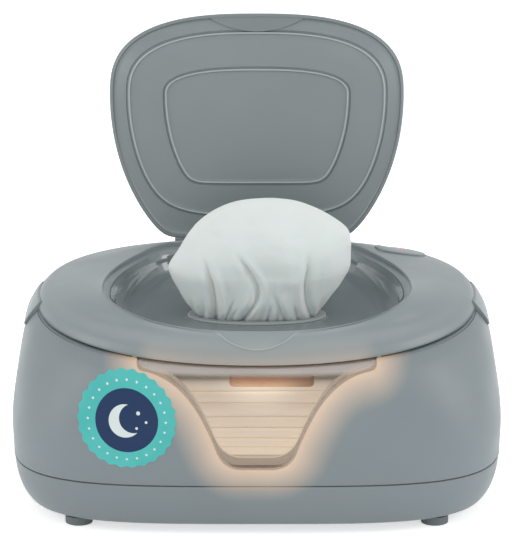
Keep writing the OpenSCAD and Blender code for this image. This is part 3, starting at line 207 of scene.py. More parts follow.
def window_glow(made, reach, strength):
    """Painted glow of the lamp's warm light soaking into the plastic, as emission that fades with the
    distance from the window.
    """
    amount = made.remap(made.marked("from_window"), 0.001, reach, 1.0, 0.0)
    amount = made.math("POWER", amount, 1.25, clamp=True)
    amount = made.times(amount, made.remap(made.noise(28.0), 0.3, 0.7, 0.92, 1.06))
    made.glow((1.0, 0.60, 0.31, 1.0), made.times(amount, strength))


def vary_and_paint_crest_highlight(made, amount, tone):
    """Cloudy colour variation, with a painted highlight where the crest of a bead catches the light."""
    made.paint(made.blend(made.marked("crest"), made.vary(amount), tone))


# Casing and cover carry a painted glow of the lamp's light near the window
case_finish = moulded("case_satin_grey", linear(132, 142, 146), 0.42, Specular_IOR_Level=0.45)
window_glow(case_finish, 0.0185, 0.46)
cover_finish = moulded("cover_satin_grey", linear(140, 150, 153), 0.36, Specular_IOR_Level=0.5)
# Painted highlight along the crest of the thumb scoop's lip
vary_and_paint_crest_highlight(cover_finish, 0.035, linear(182, 190, 191))
window_glow(cover_finish, 0.0100, 0.16)
latch_finish = moulded("latch_satin_grey", linear(140, 150, 153), 0.36, Specular_IOR_Level=0.5)
lid_finish = moulded("lid_satin_grey", linear(128, 137, 140), 0.4, grain=1200.0, Specular_IOR_Level=0.45)
panel_finish = moulded("lid_panel_grey", linear(134, 143, 146), 0.36, grain=1900.0, depth=0.06)
# Painted highlight along the crests of the panel's beads
vary_and_paint_crest_highlight(panel_finish, 0.03, linear(186, 194, 195))
bowl_finish = moulded("bowl_gloss_grey", linear(124, 135, 138), 0.14, grain=420.0, depth=0.015,
                      Specular_IOR_Level=0.75, Coat_Weight=1.0, Coat_Roughness=0.05)
under_finish = moulded("liner_grey", linear(128, 138, 142), 0.5)
tub_finish = moulded("tub_warm_white", linear(206, 200, 190), 0.38)
# Painted glow of the lamp's warm light on the tub, strongest at its front next to the lamp
tub_finish.glow((1.0, 0.84, 0.68, 1.0),
                tub_finish.remap(tub_finish.xyz()[1], -0.062, -0.048, 0.24, 0.0, True))
rubber_finish = moulded("foot_rubber", linear(112, 118, 121), 0.75, grain=700.0, depth=0.3)
ring_finish = moulded("slot_ring_rubber", linear(176, 182, 183), 0.4, grain=900.0, depth=0.1)
black_finish = moulded("inlet_black", linear(34, 35, 37), 0.45)

# Clear pane: its rim and its upper band are frosted, and the rest shows the wipes behind it
clear = Finish("window_clear", linear(190, 176, 162), 0.12, IOR=1.49)
rim_share = clear.remap(clear.marked("from_window"), 0.0009, 0.0015, 1.0, 0.0, True)
band_share = clear.remap(clear.xyz()[2], 0.0838, 0.0872, 0.0, 1.0, True)
tone = clear.blend(band_share, linear(196, 184, 170), linear(206, 199, 194))
tone = clear.blend(rim_share, tone, linear(182, 168, 154))
cloud = clear.remap(clear.noise(36.0), 0.3, 0.7, 0.92, 1.08)
milky = clear.remap(cloud, 0.92, 1.08, 0.0, 0.1)
clear.paint(clear.blend(milky, tone, linear(215, 205, 190)))
veil = clear.math("MAXIMUM", clear.times(rim_share, 0.5), clear.times(band_share, 0.7))
veil = clear.times(clear.math("MAXIMUM", veil, 0.07), cloud)
clear.feed(clear.shader.inputs["Alpha"], veil)
clear.polish(0.04, 90.0)
clear.bump(clear.noise(160.0), 0.05, 0.0002)
tunnel_finish = Finish("window_tunnel_clear", linear(206, 194, 182), 0.15, IOR=1.49, Alpha=0.16)
tunnel_finish.vary(0.03, 30.0)
tunnel_finish.bump(tunnel_finish.noise(160.0), 0.05, 0.0002)

# Light bar: brightest at its top and at the middle of its width
LAMP_MID_X = 0.0015
amber = Finish("lamp_amber", linear(104, 58, 30), 0.3)
from_side, _, up = amber.xyz()
lit = amber.remap(up, 0.0752, 0.0828, 1.0, 0.0, True)
from_side = amber.math("ABSOLUTE", amber.less(from_side, LAMP_MID_X))
spread = amber.remap(from_side, 0.007, 0.027, 1.0, 0.34, True)
amber.vary(0.05, 60.0)
amber.polish(0.05)
amber.bump(amber.noise(300.0), 0.08, 0.0002)
amber.glow(amber.blend(lit, (1.0, 0.36, 0.12, 1.0), (1.0, 0.64, 0.38, 1.0)),
           amber.times(amber.plus(amber.times(lit, 0.5), 0.07), spread))

cotton = Finish("wipe_cloth_white", linear(238, 238, 235), 0.92, Specular_IOR_Level=0.2,
                Sheen_Weight=0.25, Sheen_Roughness=0.6, Subsurface_Weight=0.18, Subsurface_Scale=0.004)
cotton.vary(0.02, 22.0)
fibres = cotton.times(cotton.noise(140.0, 3.0), 0.9)
cotton.bump(cotton.plus(cotton.noise(900.0, 4.0, 0.7), fibres), 0.28, 0.00035)

# Pile of wipes with painted lamp light: a warm glow painted on its front, strongest close under the lamp and
# on faces turned towards the view
pile = Finish("wipe_pile_white", linear(226, 218, 206), 0.9, Specular_IOR_Level=0.2, Sheen_Weight=0.2)
pile.vary(0.03, 30.0)
side, depth, up = pile.xyz()
side = pile.times(pile.less(side, LAMP_MID_X), 0.8)
from_lamp = pile.span(side, pile.less(up, 0.0745))
# Painted lamp light: more near the lamp, and a level that falls with height
lit = pile.plus(pile.remap(from_lamp, 0.002, 0.022, 0.24, 0.0, True),
                pile.remap(up, 0.036, 0.075, 0.36, 0.20))
turned = pile.add("ShaderNodeLayerWeight", Blend=0.5).outputs["Facing"]
front = pile.times(pile.remap(depth, -0.050, -0.030, 1.0, 0.0, True),
                   pile.remap(turned, 0.15, 0.8, 1.0, 0.2, True))
# The painted glow, on the front of the pile only
pile.glow((1.0, 0.85, 0.70, 1.0), pile.times(lit, front))
pile.bump(pile.noise(700.0, 4.0, 0.7), 0.3, 0.0003)


def metal(name, colour, rough):
    made = Finish(name, colour, rough, Metallic=1.0)
    made.vary(0.06, 120.0)
    made.polish(0.08, 400.0)
    made.bump(made.noise(60.0, 2.0, 0.5, (1.0, 40.0, 40.0)), 0.1, 0.00005)
    return made


steel_finish = metal("pin_steel", linear(176, 178, 182), 0.28)
plate_finish = metal("heater_aluminium", linear(188, 190, 192), 0.4)


def plain_stuff(name, colour, rough, grain, depth):
    made = Finish(name, colour, rough)
    made.vary(0.08, 80.0)
    made.bump(made.noise(grain, 4.0, 0.7), depth, 0.0003)
    return made


board_finish = plain_stuff("board_green", linear(24, 92, 54), 0.45, 500.0, 0.15)
film_finish = plain_stuff("film_amber", linear(188, 112, 44), 0.3, 300.0, 0.1)
felt_finish = plain_stuff("insulation_felt", linear(222, 221, 214), 0.95, 1500.0, 0.8)
fuse_finish = plain_stuff("fuse_ceramic", linear(214, 212, 202), 0.35, 600.0, 0.1)
wire_finish = plain_stuff("wire_grey", linear(54, 55, 59), 0.5, 400.0, 0.1)
lamp_case_finish = plain_stuff("lamp_case_brown", linear(92, 66, 52), 0.5, 900.0, 0.1)
lens_finish = moulded("lens_pink", linear(196, 150, 150), 0.25, grain=300.0, depth=0.03)
lens_finish.glow((0.9, 0.35, 0.3, 1.0), 0.06)

NODE_FINISH = {
    "window_tunnel": tunnel_finish, "tub_gasket": rubber_finish, "heater_plate": plate_finish,
    "heater_film": film_finish, "heater_insulation": felt_finish, "heater_screws": steel_finish,
    "thermal_fuse": fuse_finish, "control_board": board_finish, "board_screws": steel_finish,
    "power_inlet": black_finish, "heater_lead": wire_finish, "body_lead": wire_finish,
    "foot_front_left": rubber_finish, "foot_front_right": rubber_finish,
    "foot_rear_left": rubber_finish, "foot_rear_right": rubber_finish,
    "case_screws": steel_finish, "left_hinge_pin": steel_finish, "right_hinge_pin": steel_finish,
    "cover_liner": under_finish, "liner_screws": steel_finish, "lamp_housing": lamp_case_finish,
    "lamp_board": board_finish, "button_board": board_finish, "cover_lead": wire_finish,
    "lid_hinge_pin": steel_finish,
}
for name, finish in NODE_FINISH.items():
    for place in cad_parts[name].material_slots:
        place.material = finish.material


# ---- Outlines and levels, the same as the CAD's ------------------------------------------

RING = 192
ANGLES = [2 * math.pi * i / RING for i in range(RING)]
WALL = 2.4
SEAM_SLOPE, SEAM_RISE, COVER_Z = 0.0857, 2.4, 97.0
RIM_A, RIM_B, RIM_SQ = 113.8, 82.2, 2.25


def stretch(t, n):
    return (abs(math.cos(t)) ** n + abs(math.sin(t)) ** n) ** (-1 / n)


def oval(a, b, n):
    return [(a * stretch(t, n) * math.cos(t), b * stretch(t, n) * math.sin(t)) for t in ANGLES]


def level_ring(level, inset=0.0, lift=0.0):
    a, b, n, z, slope, rise = level
    return [Vector((x, y, z + lift + slope * y + rise * (x / a) ** 2))
            for x, y in oval(a - inset, b - inset, n)]


def level_rings(level, *spots):
    """Rings of one level, each with its inset and lift."""
    return [level_ring(level, *spot) for spot in spots]


def rings_of(make, *spots):
    """Rings made by one function, each with its own figures."""
    return [make(*spot) for spot in spots]


def flat_ring(points, z, slope=0.0):
    return [Vector((x, y, z + slope * y)) for x, y in points]


def seam_height(x, y):
    return COVER_Z + SEAM_SLOPE * y + SEAM_RISE * (x / RIM_A) ** 2


def seam_ring(points, lift):
    return [Vector((x, y, seam_height(x, y) + lift)) for x, y in points]


LID_A, LID_FRONT, LID_REAR, LID_NOSE, LID_TAPER = 78.2, 63.5, 57.0, 43.6, 98.05
LID_MID = LID_NOSE - LID_FRONT
LID_SQ, LID_GAP, REAR_GAP = 2.65, 0.8, 3.0


def soft_cut(value, cut, corner):
    return value / (1 + (value / cut) ** corner) ** (1 / corner)


def lid_outline(inset, corner=30.0):
    points = []
    for t in ANGLES:
        if math.sin(t) < 0:
            k = stretch(t, LID_SQ)
            y = (LID_NOSE - inset) * k * math.sin(t)
        else:
            k = 1.0
            y = soft_cut((LID_TAPER - inset) * math.sin(t), LID_REAR - LID_MID - inset, corner)
        points.append(((LID_A - inset) * k * math.cos(t), LID_MID + y))
    return points


def recess_outline(inset):
    grow = 1 + (REAR_GAP - LID_GAP) / (LID_REAR - LID_MID)
    return [(x, LID_MID + (y - LID_MID) * grow if y > LID_MID else y)
            for x, y in lid_outline(inset - LID_GAP)]


RECESS_Z, RECESS_SLOPE = 107.05, 0.077
RECESS_FRONT, RECESS_REAR = LID_FRONT + LID_GAP, LID_REAR + REAR_GAP
LEDGE_W, LEDGE_T = 3.5, 2.2
DROP_REAR, DROP_FRONT = 2.6, 0.5
LEDGE_SLOPE = RECESS_SLOPE - (DROP_REAR - DROP_FRONT) / (RECESS_FRONT + RECESS_REAR)
LEDGE_Z = RECESS_Z - DROP_FRONT - (RECESS_SLOPE - LEDGE_SLOPE) * RECESS_FRONT


def ledge_height(y):
    return LEDGE_Z + LEDGE_SLOPE * y


RIM_RISE, RISE_FROM, RISE_IN = 9.6, LID_REAR * 0.8, 14.0


def share_of(value):
    return max(0.0, min(1.0, value))


def lifted(ring, inset):
    """The rim of the recess and the edge of the lid rise together towards the front corners."""
    most = RIM_RISE * share_of(1 - inset / RISE_IN)
    run = RISE_FROM + LID_FRONT * 0.75
    return [p + Vector((0, 0, most * (abs(p.x) / LID_A) ** 2.5 * share_of((RISE_FROM - p.y) / run)))
            for p in ring]


def ledge_ring(inset, lift):
    return lifted(flat_ring(recess_outline(inset), LEDGE_Z + lift, LEDGE_SLOPE), inset - LID_GAP)


def recess_ring(inset, drop=0.0):
    return lifted(flat_ring(recess_outline(inset), RECESS_Z - drop, RECESS_SLOPE), inset)


def mixed(ring_a, ring_b, share, lift=0.0):
    return [a + (b - a) * share + Vector((0, 0, lift)) for a, b in zip(ring_a, ring_b)]


def shrunk(ring, share, lift=0.0):
    """The ring drawn towards its own middle, and raised."""
    middle = sum(ring, Vector()) / len(ring)
    return [middle + (p - middle) * share + Vector((0, 0, lift)) for p in ring]


def faired(rings, steps):
    """Rings on smooth curves through the given ones, with a number of steps between each two."""
    count = len(rings)
    gaps = [max(1e-6, sum((q - p).length for p, q in zip(rings[i], rings[i + 1])) / RING)
            for i in range(count - 1)]
    knots = [sum(gaps[:i]) for i in range(count)]

    def slope(i, j):
        if i == 0:
            return (rings[1][j] - rings[0][j]) / gaps[0]
        if i == count - 1:
            return (rings[i][j] - rings[i - 1][j]) / gaps[i - 1]
        before = (rings[i][j] - rings[i - 1][j]) / gaps[i - 1]
        after = (rings[i + 1][j] - rings[i][j]) / gaps[i]
        return (before * gaps[i] + after * gaps[i - 1]) / (gaps[i] + gaps[i - 1])

    made = [rings[0]]
    for i in range(count - 1):
        h = knots[i + 1] - knots[i]
        for k in range(1, steps + 1):
            s = k / steps
            w0, w1 = 2 * s ** 3 - 3 * s ** 2 + 1, s ** 3 - 2 * s ** 2 + s
            w2, w3 = -2 * s ** 3 + 3 * s ** 2, s ** 3 - s ** 2
            made.append([rings[i][j] * w0 + slope(i, j) * h * w1 + rings[i + 1][j] * w2
                         + slope(i + 1, j) * h * w3 for j in range(RING)])
    return made


# ---- Mesh helpers ------------------------------------------------------------------------

def skin(rings, close=False, cap=False):
    """A bmesh drawn from a circle by extruding its edge to each ring in turn."""
    shape = bmesh.new()
    bmesh.ops.create_circle(shape, segments=len(rings[0]), radius=1.0)
    row = list(shape.verts)
    first_edges = list(shape.edges)
    for vert, point in zip(row, rings[0]):
        vert.co = point
    edges = first_edges
    for ring in rings[1:]:
        grown = bmesh.ops.extrude_edge_only(shape, edges=edges)["geom"]
        fresh = {v for v in grown if isinstance(v, bmesh.types.BMVert)}
        edges = [e for e in grown if isinstance(e, bmesh.types.BMEdge) and fresh.issuperset(e.verts)]
        row = [next(e.other_vert(v) for e in v.link_edges if e.other_vert(v) in fresh) for v in row]
        for vert, point in zip(row, ring):
            vert.co = point
    if close:
        bmesh.ops.bridge_loops(shape, edges=first_edges + edges)
    if cap:
        bmesh.ops.contextual_create(shape, geom=first_edges)
        bmesh.ops.contextual_create(shape, geom=edges)
    bmesh.ops.recalc_face_normals(shape, faces=shape.faces)
    return shape


def prism(points, low, high, axis="z"):
    """A flat outline drawn out along an axis, from low to high."""
    shape = bmesh.new()
    bmesh.ops.create_circle(shape, segments=len(points), radius=1.0)
    for vert, (u, v) in zip(shape.verts, points):
        vert.co = {"z": (u, v, low), "y": (u, low, v), "x": (low, u, v)}[axis]
    face = bmesh.ops.contextual_create(shape, geom=list(shape.edges))["faces"]
    grown = bmesh.ops.extrude_face_region(shape, geom=face)["geom"]
    step = {"z": (0, 0, high - low), "y": (0, high - low, 0), "x": (high - low, 0, 0)}[axis]
    bmesh.ops.translate(shape, vec=step, verts=[v for v in grown if isinstance(v, bmesh.types.BMVert)])
    bmesh.ops.recalc_face_normals(shape, faces=shape.faces)
    return shape


def soften(shape, edges, by):
    bmesh.ops.bevel(shape, geom=edges, offset=by, offset_type="OFFSET", segments=3, profile=0.5,
                    affect="EDGES", material=-1)


def block(size, middle, soft=0.0):
    """A box with softened edges."""
    shape = bmesh.new()
    bmesh.ops.create_cube(shape, size=1.0)
    bmesh.ops.scale(shape, vec=size, verts=shape.verts)
    if soft:
        soften(shape, list(shape.edges), soft)
    bmesh.ops.translate(shape, vec=middle, verts=shape.verts)
    return shape


def rod(radius, low, high, axis="z", at=(0, 0), soft=0.0, segments=64):
    """A round bar along an axis with softened ends; at gives the other two coordinates."""
    shape = bmesh.new()
    bmesh.ops.create_cone(shape, cap_ends=True, segments=segments, radius1=radius, radius2=radius,
                          depth=high - low)
    if soft:
        soften(shape, [e for e in shape.edges if abs(e.verts[0].co.z - e.verts[1].co.z) < 1e-6], soft)
    bmesh.ops.translate(shape, vec=(0, 0, (low + high) / 2), verts=shape.verts)
    turn = {"z": Matrix.Identity(3), "x": Matrix.Rotation(math.pi / 2, 3, "Y"),
            "y": Matrix.Rotation(-math.pi / 2, 3, "X")}[axis]
    bmesh.ops.rotate(shape, cent=(0, 0, 0), matrix=turn, verts=shape.verts)
    shift = {"z": (at[0], at[1], 0), "x": (0, at[0], at[1]), "y": (at[0], 0, at[1])}[axis]
    bmesh.ops.translate(shape, vec=shift, verts=shape.verts)
    return shape


def mesh_of(shape, name="part"):
    mesh = bpy.data.meshes.new(name)
    shape.to_mesh(mesh)
    shape.free()
    return mesh


def carve(shape, tools, how="DIFFERENCE"):
    """The shape with each tool cut from it, joined to it or kept in common with it."""
    thing = placed("carved", mesh_of(shape))
    for tool in tools:
        cutter = placed("cutter", mesh_of(tool))
        step = thing.modifiers.new("step", "BOOLEAN")
        step.operation = how
        step.solver = "MANIFOLD"
        step.object = cutter
        bpy.context.view_layer.update()
        final = thing.evaluated_get(bpy.context.evaluated_depsgraph_get())
        result = bpy.data.meshes.new_from_object(final)
        thing.modifiers.clear()
        thing.data = result
        bpy.data.objects.remove(cutter)
    made = bmesh.new()
    made.from_mesh(thing.data)
    bpy.data.objects.remove(thing)
    return made


def joined(shape, *others):
    for other in others:
        mesh = mesh_of(other)
        shape.from_mesh(mesh)
        bpy.data.meshes.remove(mesh)
    return shape


def mirrored(shape):
    """The shape's mirror image across the middle of the body."""
    bmesh.ops.scale(shape, vec=(-1, 1, 1), verts=shape.verts)
    bmesh.ops.reverse_faces(shape, faces=shape.faces)
    return shape


def piece(name, shape, finish, body, nodes=(), sharp=32.0, bevel=0.0, merge=0.02):
    """A finished piece in metres: shaded, given its material and body, with the CAD nodes it stands for
    hidden.
    """
    if merge:
        bmesh.ops.remove_doubles(shape, verts=shape.verts, dist=merge)
    bmesh.ops.scale(shape, vec=(0.001, 0.001, 0.001), verts=shape.verts)
    mesh = mesh_of(shape, name)
    mesh.polygons.foreach_set("use_smooth", [True] * len(mesh.polygons))
    mesh.set_sharp_from_angle(angle=math.radians(sharp))
    thing = placed(name, mesh)
    mesh.materials.append(finish.material)
    if bevel:
        step = thing.modifiers.new("edges", "BEVEL")
        step.width = bevel * 0.001
        step.segments = 2
        step.limit_method = "ANGLE"
        step.angle_limit = math.radians(sharp)
        step.harden_normals = True
    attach(thing, body)
    if nodes:
        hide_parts(*nodes)
    return thing


# ---- Casings -----------------------------------------------------------------------------

FOOT_H = 4.2
BASE_LEVELS = [(114.5, 78, 3.85, FOOT_H, 0, 0), (118.3, 81.8, 3.85, FOOT_H + 1.4, 0, 0),
               (120.9, 83.6, 3.85, FOOT_H + 4.5, 0, 0), (124.4, 86.5, 3.85, FOOT_H + 13, 0, 0),
               (126, 87.5, 3.85, 27.5, 0, 0)]
BODY_LEVELS = [(126, 87.5, 3.85, 28, 0, 0), (126.5, 90, 3.7, 47, 0, 0), (124.28, 88.97, 3.3, 65, 0, 0),
               (120.5, 87, 2.7, 83, 0.0429, 1.2), (117.65, 85, 2.475, 90.4, 0.0643, 1.8),
               (RIM_A, RIM_B, RIM_SQ, 96, SEAM_SLOPE, SEAM_RISE)]
TUB_A, TUB_B, TUB_SQ = 98.5, 71.5, 2.7
TONGUE, TONGUE_H = 1.1, 3.0

base_rings = faired([level_ring(level) for level in BASE_LEVELS], 5)
seat = BASE_LEVELS[4]
base_rings = base_rings[:-1] + level_rings(
    seat, (0.0, -0.5), (0.12, -0.15), (0.5, 0.0), (WALL - TONGUE, 0.0), (WALL - TONGUE, TONGUE_H),
    (WALL, TONGUE_H), (WALL, 0.0))
base_rings += [level_ring(BASE_LEVELS[3], WALL), level_ring(BASE_LEVELS[2], WALL, 0.4),
               flat_ring(oval(113.5, 77, 3.85), FOOT_H + WALL)]
INLET_Z, INLET_R = 15.5, 5.35
base = skin(base_rings, cap=True)
screw_holes = [rod(3.5, 0, 15, at=(sx * 98, sy * 55)) for sx in (-1, 1) for sy in (-1, 1)]
base = carve(base, screw_holes + [rod(INLET_R, 72, 100, "y", at=(0, INLET_Z))])
base_casing = piece("base_casing", base, case_finish, "body", ["base_shell"])


def four(a, b, c, d, t):
    """A place along the curve through a and d that b and c pull on."""
    return (1 - t) ** 3 * a + 3 * (1 - t) ** 2 * t * b + 3 * (1 - t) * t * t * c + t ** 3 * d


def three(a, b, c, t):
    """A place along the curve through a and c that b pulls on."""
    return (1 - t) ** 2 * a + 2 * (1 - t) * t * b + t * t * c


WIN_HALF, WIN_BAND_Z, WIN_NECK, WIN_NECK_Z, WIN_LOW_Z = 60.2, 86.4, 20.0, 46.5, 37.3
WIN_TOP_Z = COVER_Z + 12
win_side = [Vector(p) for p in [(WIN_HALF, WIN_TOP_Z), (WIN_HALF, WIN_BAND_Z + 2.4),
                                (WIN_HALF - 0.3, WIN_BAND_Z + 1.4), (WIN_HALF - 1.1, WIN_BAND_Z + 0.5)]]
win_side += [four(Vector((WIN_HALF - 3, WIN_BAND_Z)), Vector((WIN_NECK + 18, WIN_BAND_Z - 1.9)),
                  Vector((WIN_NECK + 9, WIN_NECK_Z + 23.5)), Vector((WIN_NECK, WIN_NECK_Z)), k / 24)
             for k in range(25)]
win_side += [three(Vector((WIN_NECK, WIN_NECK_Z)), Vector((WIN_NECK - 3.5, WIN_LOW_Z)),
                   Vector((WIN_NECK - 13, WIN_LOW_Z)), k / 10) for k in range(1, 11)]
WINDOW = win_side + [Vector((-p.x, p.y)) for p in reversed(win_side)]


def grown(points, by):
    """A closed outline moved outwards by a distance."""
    made = []
    for i, b in enumerate(points):
        e = (b - points[i - 1]).normalized()
        f = (points[(i + 1) % len(points)] - b).normalized()
        middle = Vector((-(e.y + f.y), e.x + f.x)).normalized()
        made.append(b + middle * (by / max(0.5, middle.dot(Vector((-e.y, e.x))))))
    return made


def gap_to_window(x, z):
    """Distance in front view from a place to the window's outline."""
    spot, near = Vector((x, z)), 1e9
    for i, end in enumerate(WINDOW):
        start = WINDOW[i - 1]
        run = end - start
        share = share_of((spot - start).dot(run) / max(1e-9, run.length_squared))
        near = min(near, (spot - start - run * share).length)
    return near


def gap_to_seam(x, z):
    """Distance in front view from a place on the cover to the seam over the window."""
    edge = seam_height(min(abs(x), WIN_HALF), -RIM_B * math.sqrt(max(0.0, 1 - (x / RIM_A) ** 2)))
    return math.hypot(max(0.0, abs(x) - WIN_HALF + 8), z - edge)


def mark_window(thing, gap):
    """Keeps each point's distance from the window for the materials, in metres."""
    layer = thing.data.attributes.new("from_window", "FLOAT", "POINT")
    for point, store in zip(thing.data.vertices, layer.data):
        x, y, z = (c * 1000 for c in point.co)
        store.value = gap(x, z) * 0.001 if y < -40 and abs(x) < WIN_HALF + 30 else 0.1


def mark_crests(thing, rings, reach):
    """Marks the points near the crest of a bead, where a highlight is painted lighter."""
    spots = [a.lerp(ring[i - 1], part / 8) for ring in rings for i, a in enumerate(ring)
             for part in range(8) if (a - ring[i - 1]).length < 8]
    tree = KDTree(len(spots))
    for i, spot in enumerate(spots):
        tree.insert(spot, i)
    tree.balance()
    layer = thing.data.attributes.new("crest", "FLOAT", "POINT")
    for point, store in zip(thing.data.vertices, layer.data):
        store.value = max(0.0, 1 - tree.find(point.co * 1000)[2] / reach)


def window_prism(by, front=-120.0, back=-50.0):
    return prism([tuple(p) for p in grown(WINDOW, by)], front, back, "y")


def tub_outline(by):
    return oval(TUB_A + by, TUB_B + by, TUB_SQ)


body_outer = faired([level_ring(level) for level in BODY_LEVELS], 8)
foot_level, top_level = BODY_LEVELS[0], BODY_LEVELS[5]
body_rings = level_rings(foot_level, (0.5, 0.0), (0.12, 0.15), (0.0, 0.5)) + body_outer[1:-1]
body_rings += level_rings(top_level, (0.0, -0.9), (0.2, -0.3), (0.7, 0.0), (WALL - 0.4, 0.0),
                          (WALL, -0.4), (WALL, -5.0))
body_rings += [seam_ring(tub_outline(0.6), -6.0), seam_ring(tub_outline(0.6), -8.0),
               level_ring(top_level, WALL, -7.0), level_ring(BODY_LEVELS[4], WALL, -3.2)]
body_rings += [level_ring(BODY_LEVELS[i], WALL) for i in (3, 2, 1)]
body_rings += level_rings(foot_level, (WALL, 5.0), (WALL - TONGUE - 0.15, 3.4), (WALL - TONGUE - 0.15, 0.0))
body = skin(body_rings, close=True)

LATCH_Y, LATCH_W, LATCH_LOW, LATCH_T = 4.0, 34.0, 85.0, 3.0
LATCH_TOP = seam_height(RIM_A, LATCH_Y) + 1.8
LATCH_TRAVEL, KEEPER_T, HOOK_T, HOOK_GAP = 2.0, 1.0, 1.4, 0.4
KEEPER_X = RIM_A - LATCH_T - LATCH_TRAVEL - 0.9 - KEEPER_T
HOOK_X = KEEPER_X - HOOK_GAP - HOOK_T


def latch_outline(by):
    r = LATCH_W / 2 + by
    low, mid = LATCH_LOW - by, LATCH_LOW + LATCH_W / 2
    points = [(LATCH_Y - r, LATCH_TOP + by), (LATCH_Y - r, mid)]
    for k in range(1, 24):
        angle = math.pi + math.pi * k / 24
        points.append((LATCH_Y + r * math.cos(angle), max(low, mid + r * math.sin(angle))))
    return points + [(LATCH_Y + r, mid), (LATCH_Y + r, LATCH_TOP + by)]


def latch_cut(side, from_x):
    cut = prism(latch_outline(0.5), from_x, 150.0, "x")
    return cut if side > 0 else mirrored(cut)


BARREL_R, HINGE_X, BARREL_L, SIDE_GAP, MID_L = 3.6, 32.0, 8.0, 0.4, 15.0
AXIS_Y, AXIS_Z = RIM_B + BARREL_R, COVER_Z + SEAM_SLOPE * RIM_B - 0.5
BODY_BARRELS = [(-HINGE_X - 12, BARREL_L - SIDE_GAP), (-HINGE_X + 4 + SIDE_GAP, BARREL_L - SIDE_GAP),
                (HINGE_X - 12, BARREL_L - SIDE_GAP), (HINGE_X + 4 + SIDE_GAP, BARREL_L - SIDE_GAP),
                (-MID_L, MID_L - SIDE_GAP / 2)]
COVER_BARRELS = [(-HINGE_X - 4, BARREL_L), (HINGE_X - 4, BARREL_L), (SIDE_GAP / 2, MID_L - SIDE_GAP / 2)]


def barrel_tools(places, feet):
    """Hinge barrels and the feet that join them to a shell; a foot's box is from the hinge's axis."""
    (y0, y1), (z0, z1) = feet
    made = [rod(BARREL_R, x, x + length, "x", at=(AXIS_Y, AXIS_Z), soft=0.4) for x, length in places]
    return made + [block((length, y1 - y0, z1 - z0),
                         (x + length / 2, AXIS_Y + (y0 + y1) / 2, AXIS_Z + (z0 + z1) / 2))
                   for x, length in places]


def barrel_room(places):
    return [rod(BARREL_R + 0.6, x - SIDE_GAP, x + length + SIDE_GAP, "x", at=(AXIS_Y, AXIS_Z))
            for x, length in places]


body = carve(body, [window_prism(0.25)])
body = carve(body, barrel_tools(BODY_BARRELS, ((-8.0, 1.0), (-9.6, -4.2))), "UNION")
latch_room = [latch_cut(s, HOOK_X - LATCH_TRAVEL - HOOK_GAP) for s in (-1, 1)]
body = carve(body, barrel_room(COVER_BARRELS) + latch_room)
upper_casing = piece("upper_casing", body, case_finish, "body", ["body_shell"])
mark_window(base_casing, gap_to_window)
mark_window(upper_casing, gap_to_window)

# Window pane: the casing's outside carried on in clear plastic, with a raised rim
pane_rings = [level_ring(foot_level, 0.0, 0.0)] + body_outer[1:]
PANE_T, RIM_PROUD = 3.0, 0.55
inner_rings = [[Vector((p.x * (1 - PANE_T / RIM_A), p.y - math.copysign(PANE_T, p.y), p.z)) for p in ring]
               for ring in reversed(pane_rings)]
pane = skin(pane_rings + inner_rings, close=True)
pane = carve(pane, [window_prism(0.0)], "INTERSECT")
dish = skin([[Vector((p.x * 1.03, p.y - 3, p.z)) for p in ring] for ring in pane_rings]
            + [[Vector((p.x, p.y + RIM_PROUD, p.z)) for p in ring] for ring in reversed(pane_rings)],
            close=True)
dish = carve(dish, [window_prism(-2.1, -120.0, -40.0)], "INTERSECT")
pane = carve(pane, [dish])
pane = piece("window_pane", pane, clear, "body", ["viewing_window"], merge=0.12)
mark_window(pane, gap_to_window)

# Tub behind the window
tub_rings = [flat_ring(tub_outline(by), z) for by, z in ((-7.5, 30.7), (-4.4, 32.2), (-3.5, 34.5))]
tub_rings += [seam_ring(tub_outline(by), lift) for by, lift in (
    (-0.6, -5.85), (4.2, -5.85), (4.2, -3.85), (-1.9, -3.85), (-2.4, -4.35))]
tub_rings += [flat_ring(tub_outline(by), z) for by, z in ((-5.3, 36.5), (-6.4, 33.6), (-8.5, 32.5))]
tub = skin(tub_rings, cap=True)
tub = carve(tub, [window_prism(1.1, -120.0, -40.0)])
piece("wipe_tub", tub, tub_finish, "body", ["inner_tub"])

# ---- Cover -------------------------------------------------------------------------------

SHOULDER_H = 7.6
hip_level = (RIM_A - 2.1, RIM_B - 2.4, RIM_SQ, COVER_Z + SHOULDER_H / 2, SEAM_SLOPE * 0.93, SEAM_RISE)
shoulder_level = (RIM_A - 9.5, RIM_B - 11, 2.28, COVER_Z + SHOULDER_H, 0.058, SEAM_RISE)
cover_seam = (RIM_A, RIM_B, RIM_SQ, COVER_Z, SEAM_SLOPE, SEAM_RISE)
shoulder_ring = level_ring(shoulder_level)
recess_edge = recess_ring(0)
crown_rings = faired([level_ring(cover_seam), level_ring(hip_level), shoulder_ring,
                      mixed(shoulder_ring, recess_edge, 0.5, 0.7), recess_edge], 8)
cover_rings = level_rings(cover_seam, (1.0, 0.1), (0.35, 0.45), (0.0, 1.2)) + crown_rings[2:-1]
cover_rings += rings_of(recess_ring, (-0.7,), (-0.2, 0.12), (0.02, 0.45))
cover_rings += rings_of(ledge_ring, (0.05, 0.05), (0.4, 0.0), (LEDGE_W - 0.3, 0.0), (LEDGE_W, -0.3),
                        (LEDGE_W, -LEDGE_T), (-WALL, -LEDGE_T))
cover_rings += [mixed(level_ring(shoulder_level, WALL, -WALL), ledge_ring(-WALL, -LEDGE_T), 0.5, -0.2),
                level_ring(shoulder_level, WALL, -WALL), level_ring(hip_level, WALL, -0.6)]
cover_rings += level_rings(cover_seam, (WALL, 0.3), (WALL - 0.3, 0.0))
cover = skin(cover_rings, close=True)
cover_top = BVHTree.FromBMesh(cover)


def cover_height(x, y):
    return cover_top.ray_cast(Vector((x, y, 200.0)), Vector((0, 0, -1)))[0].z


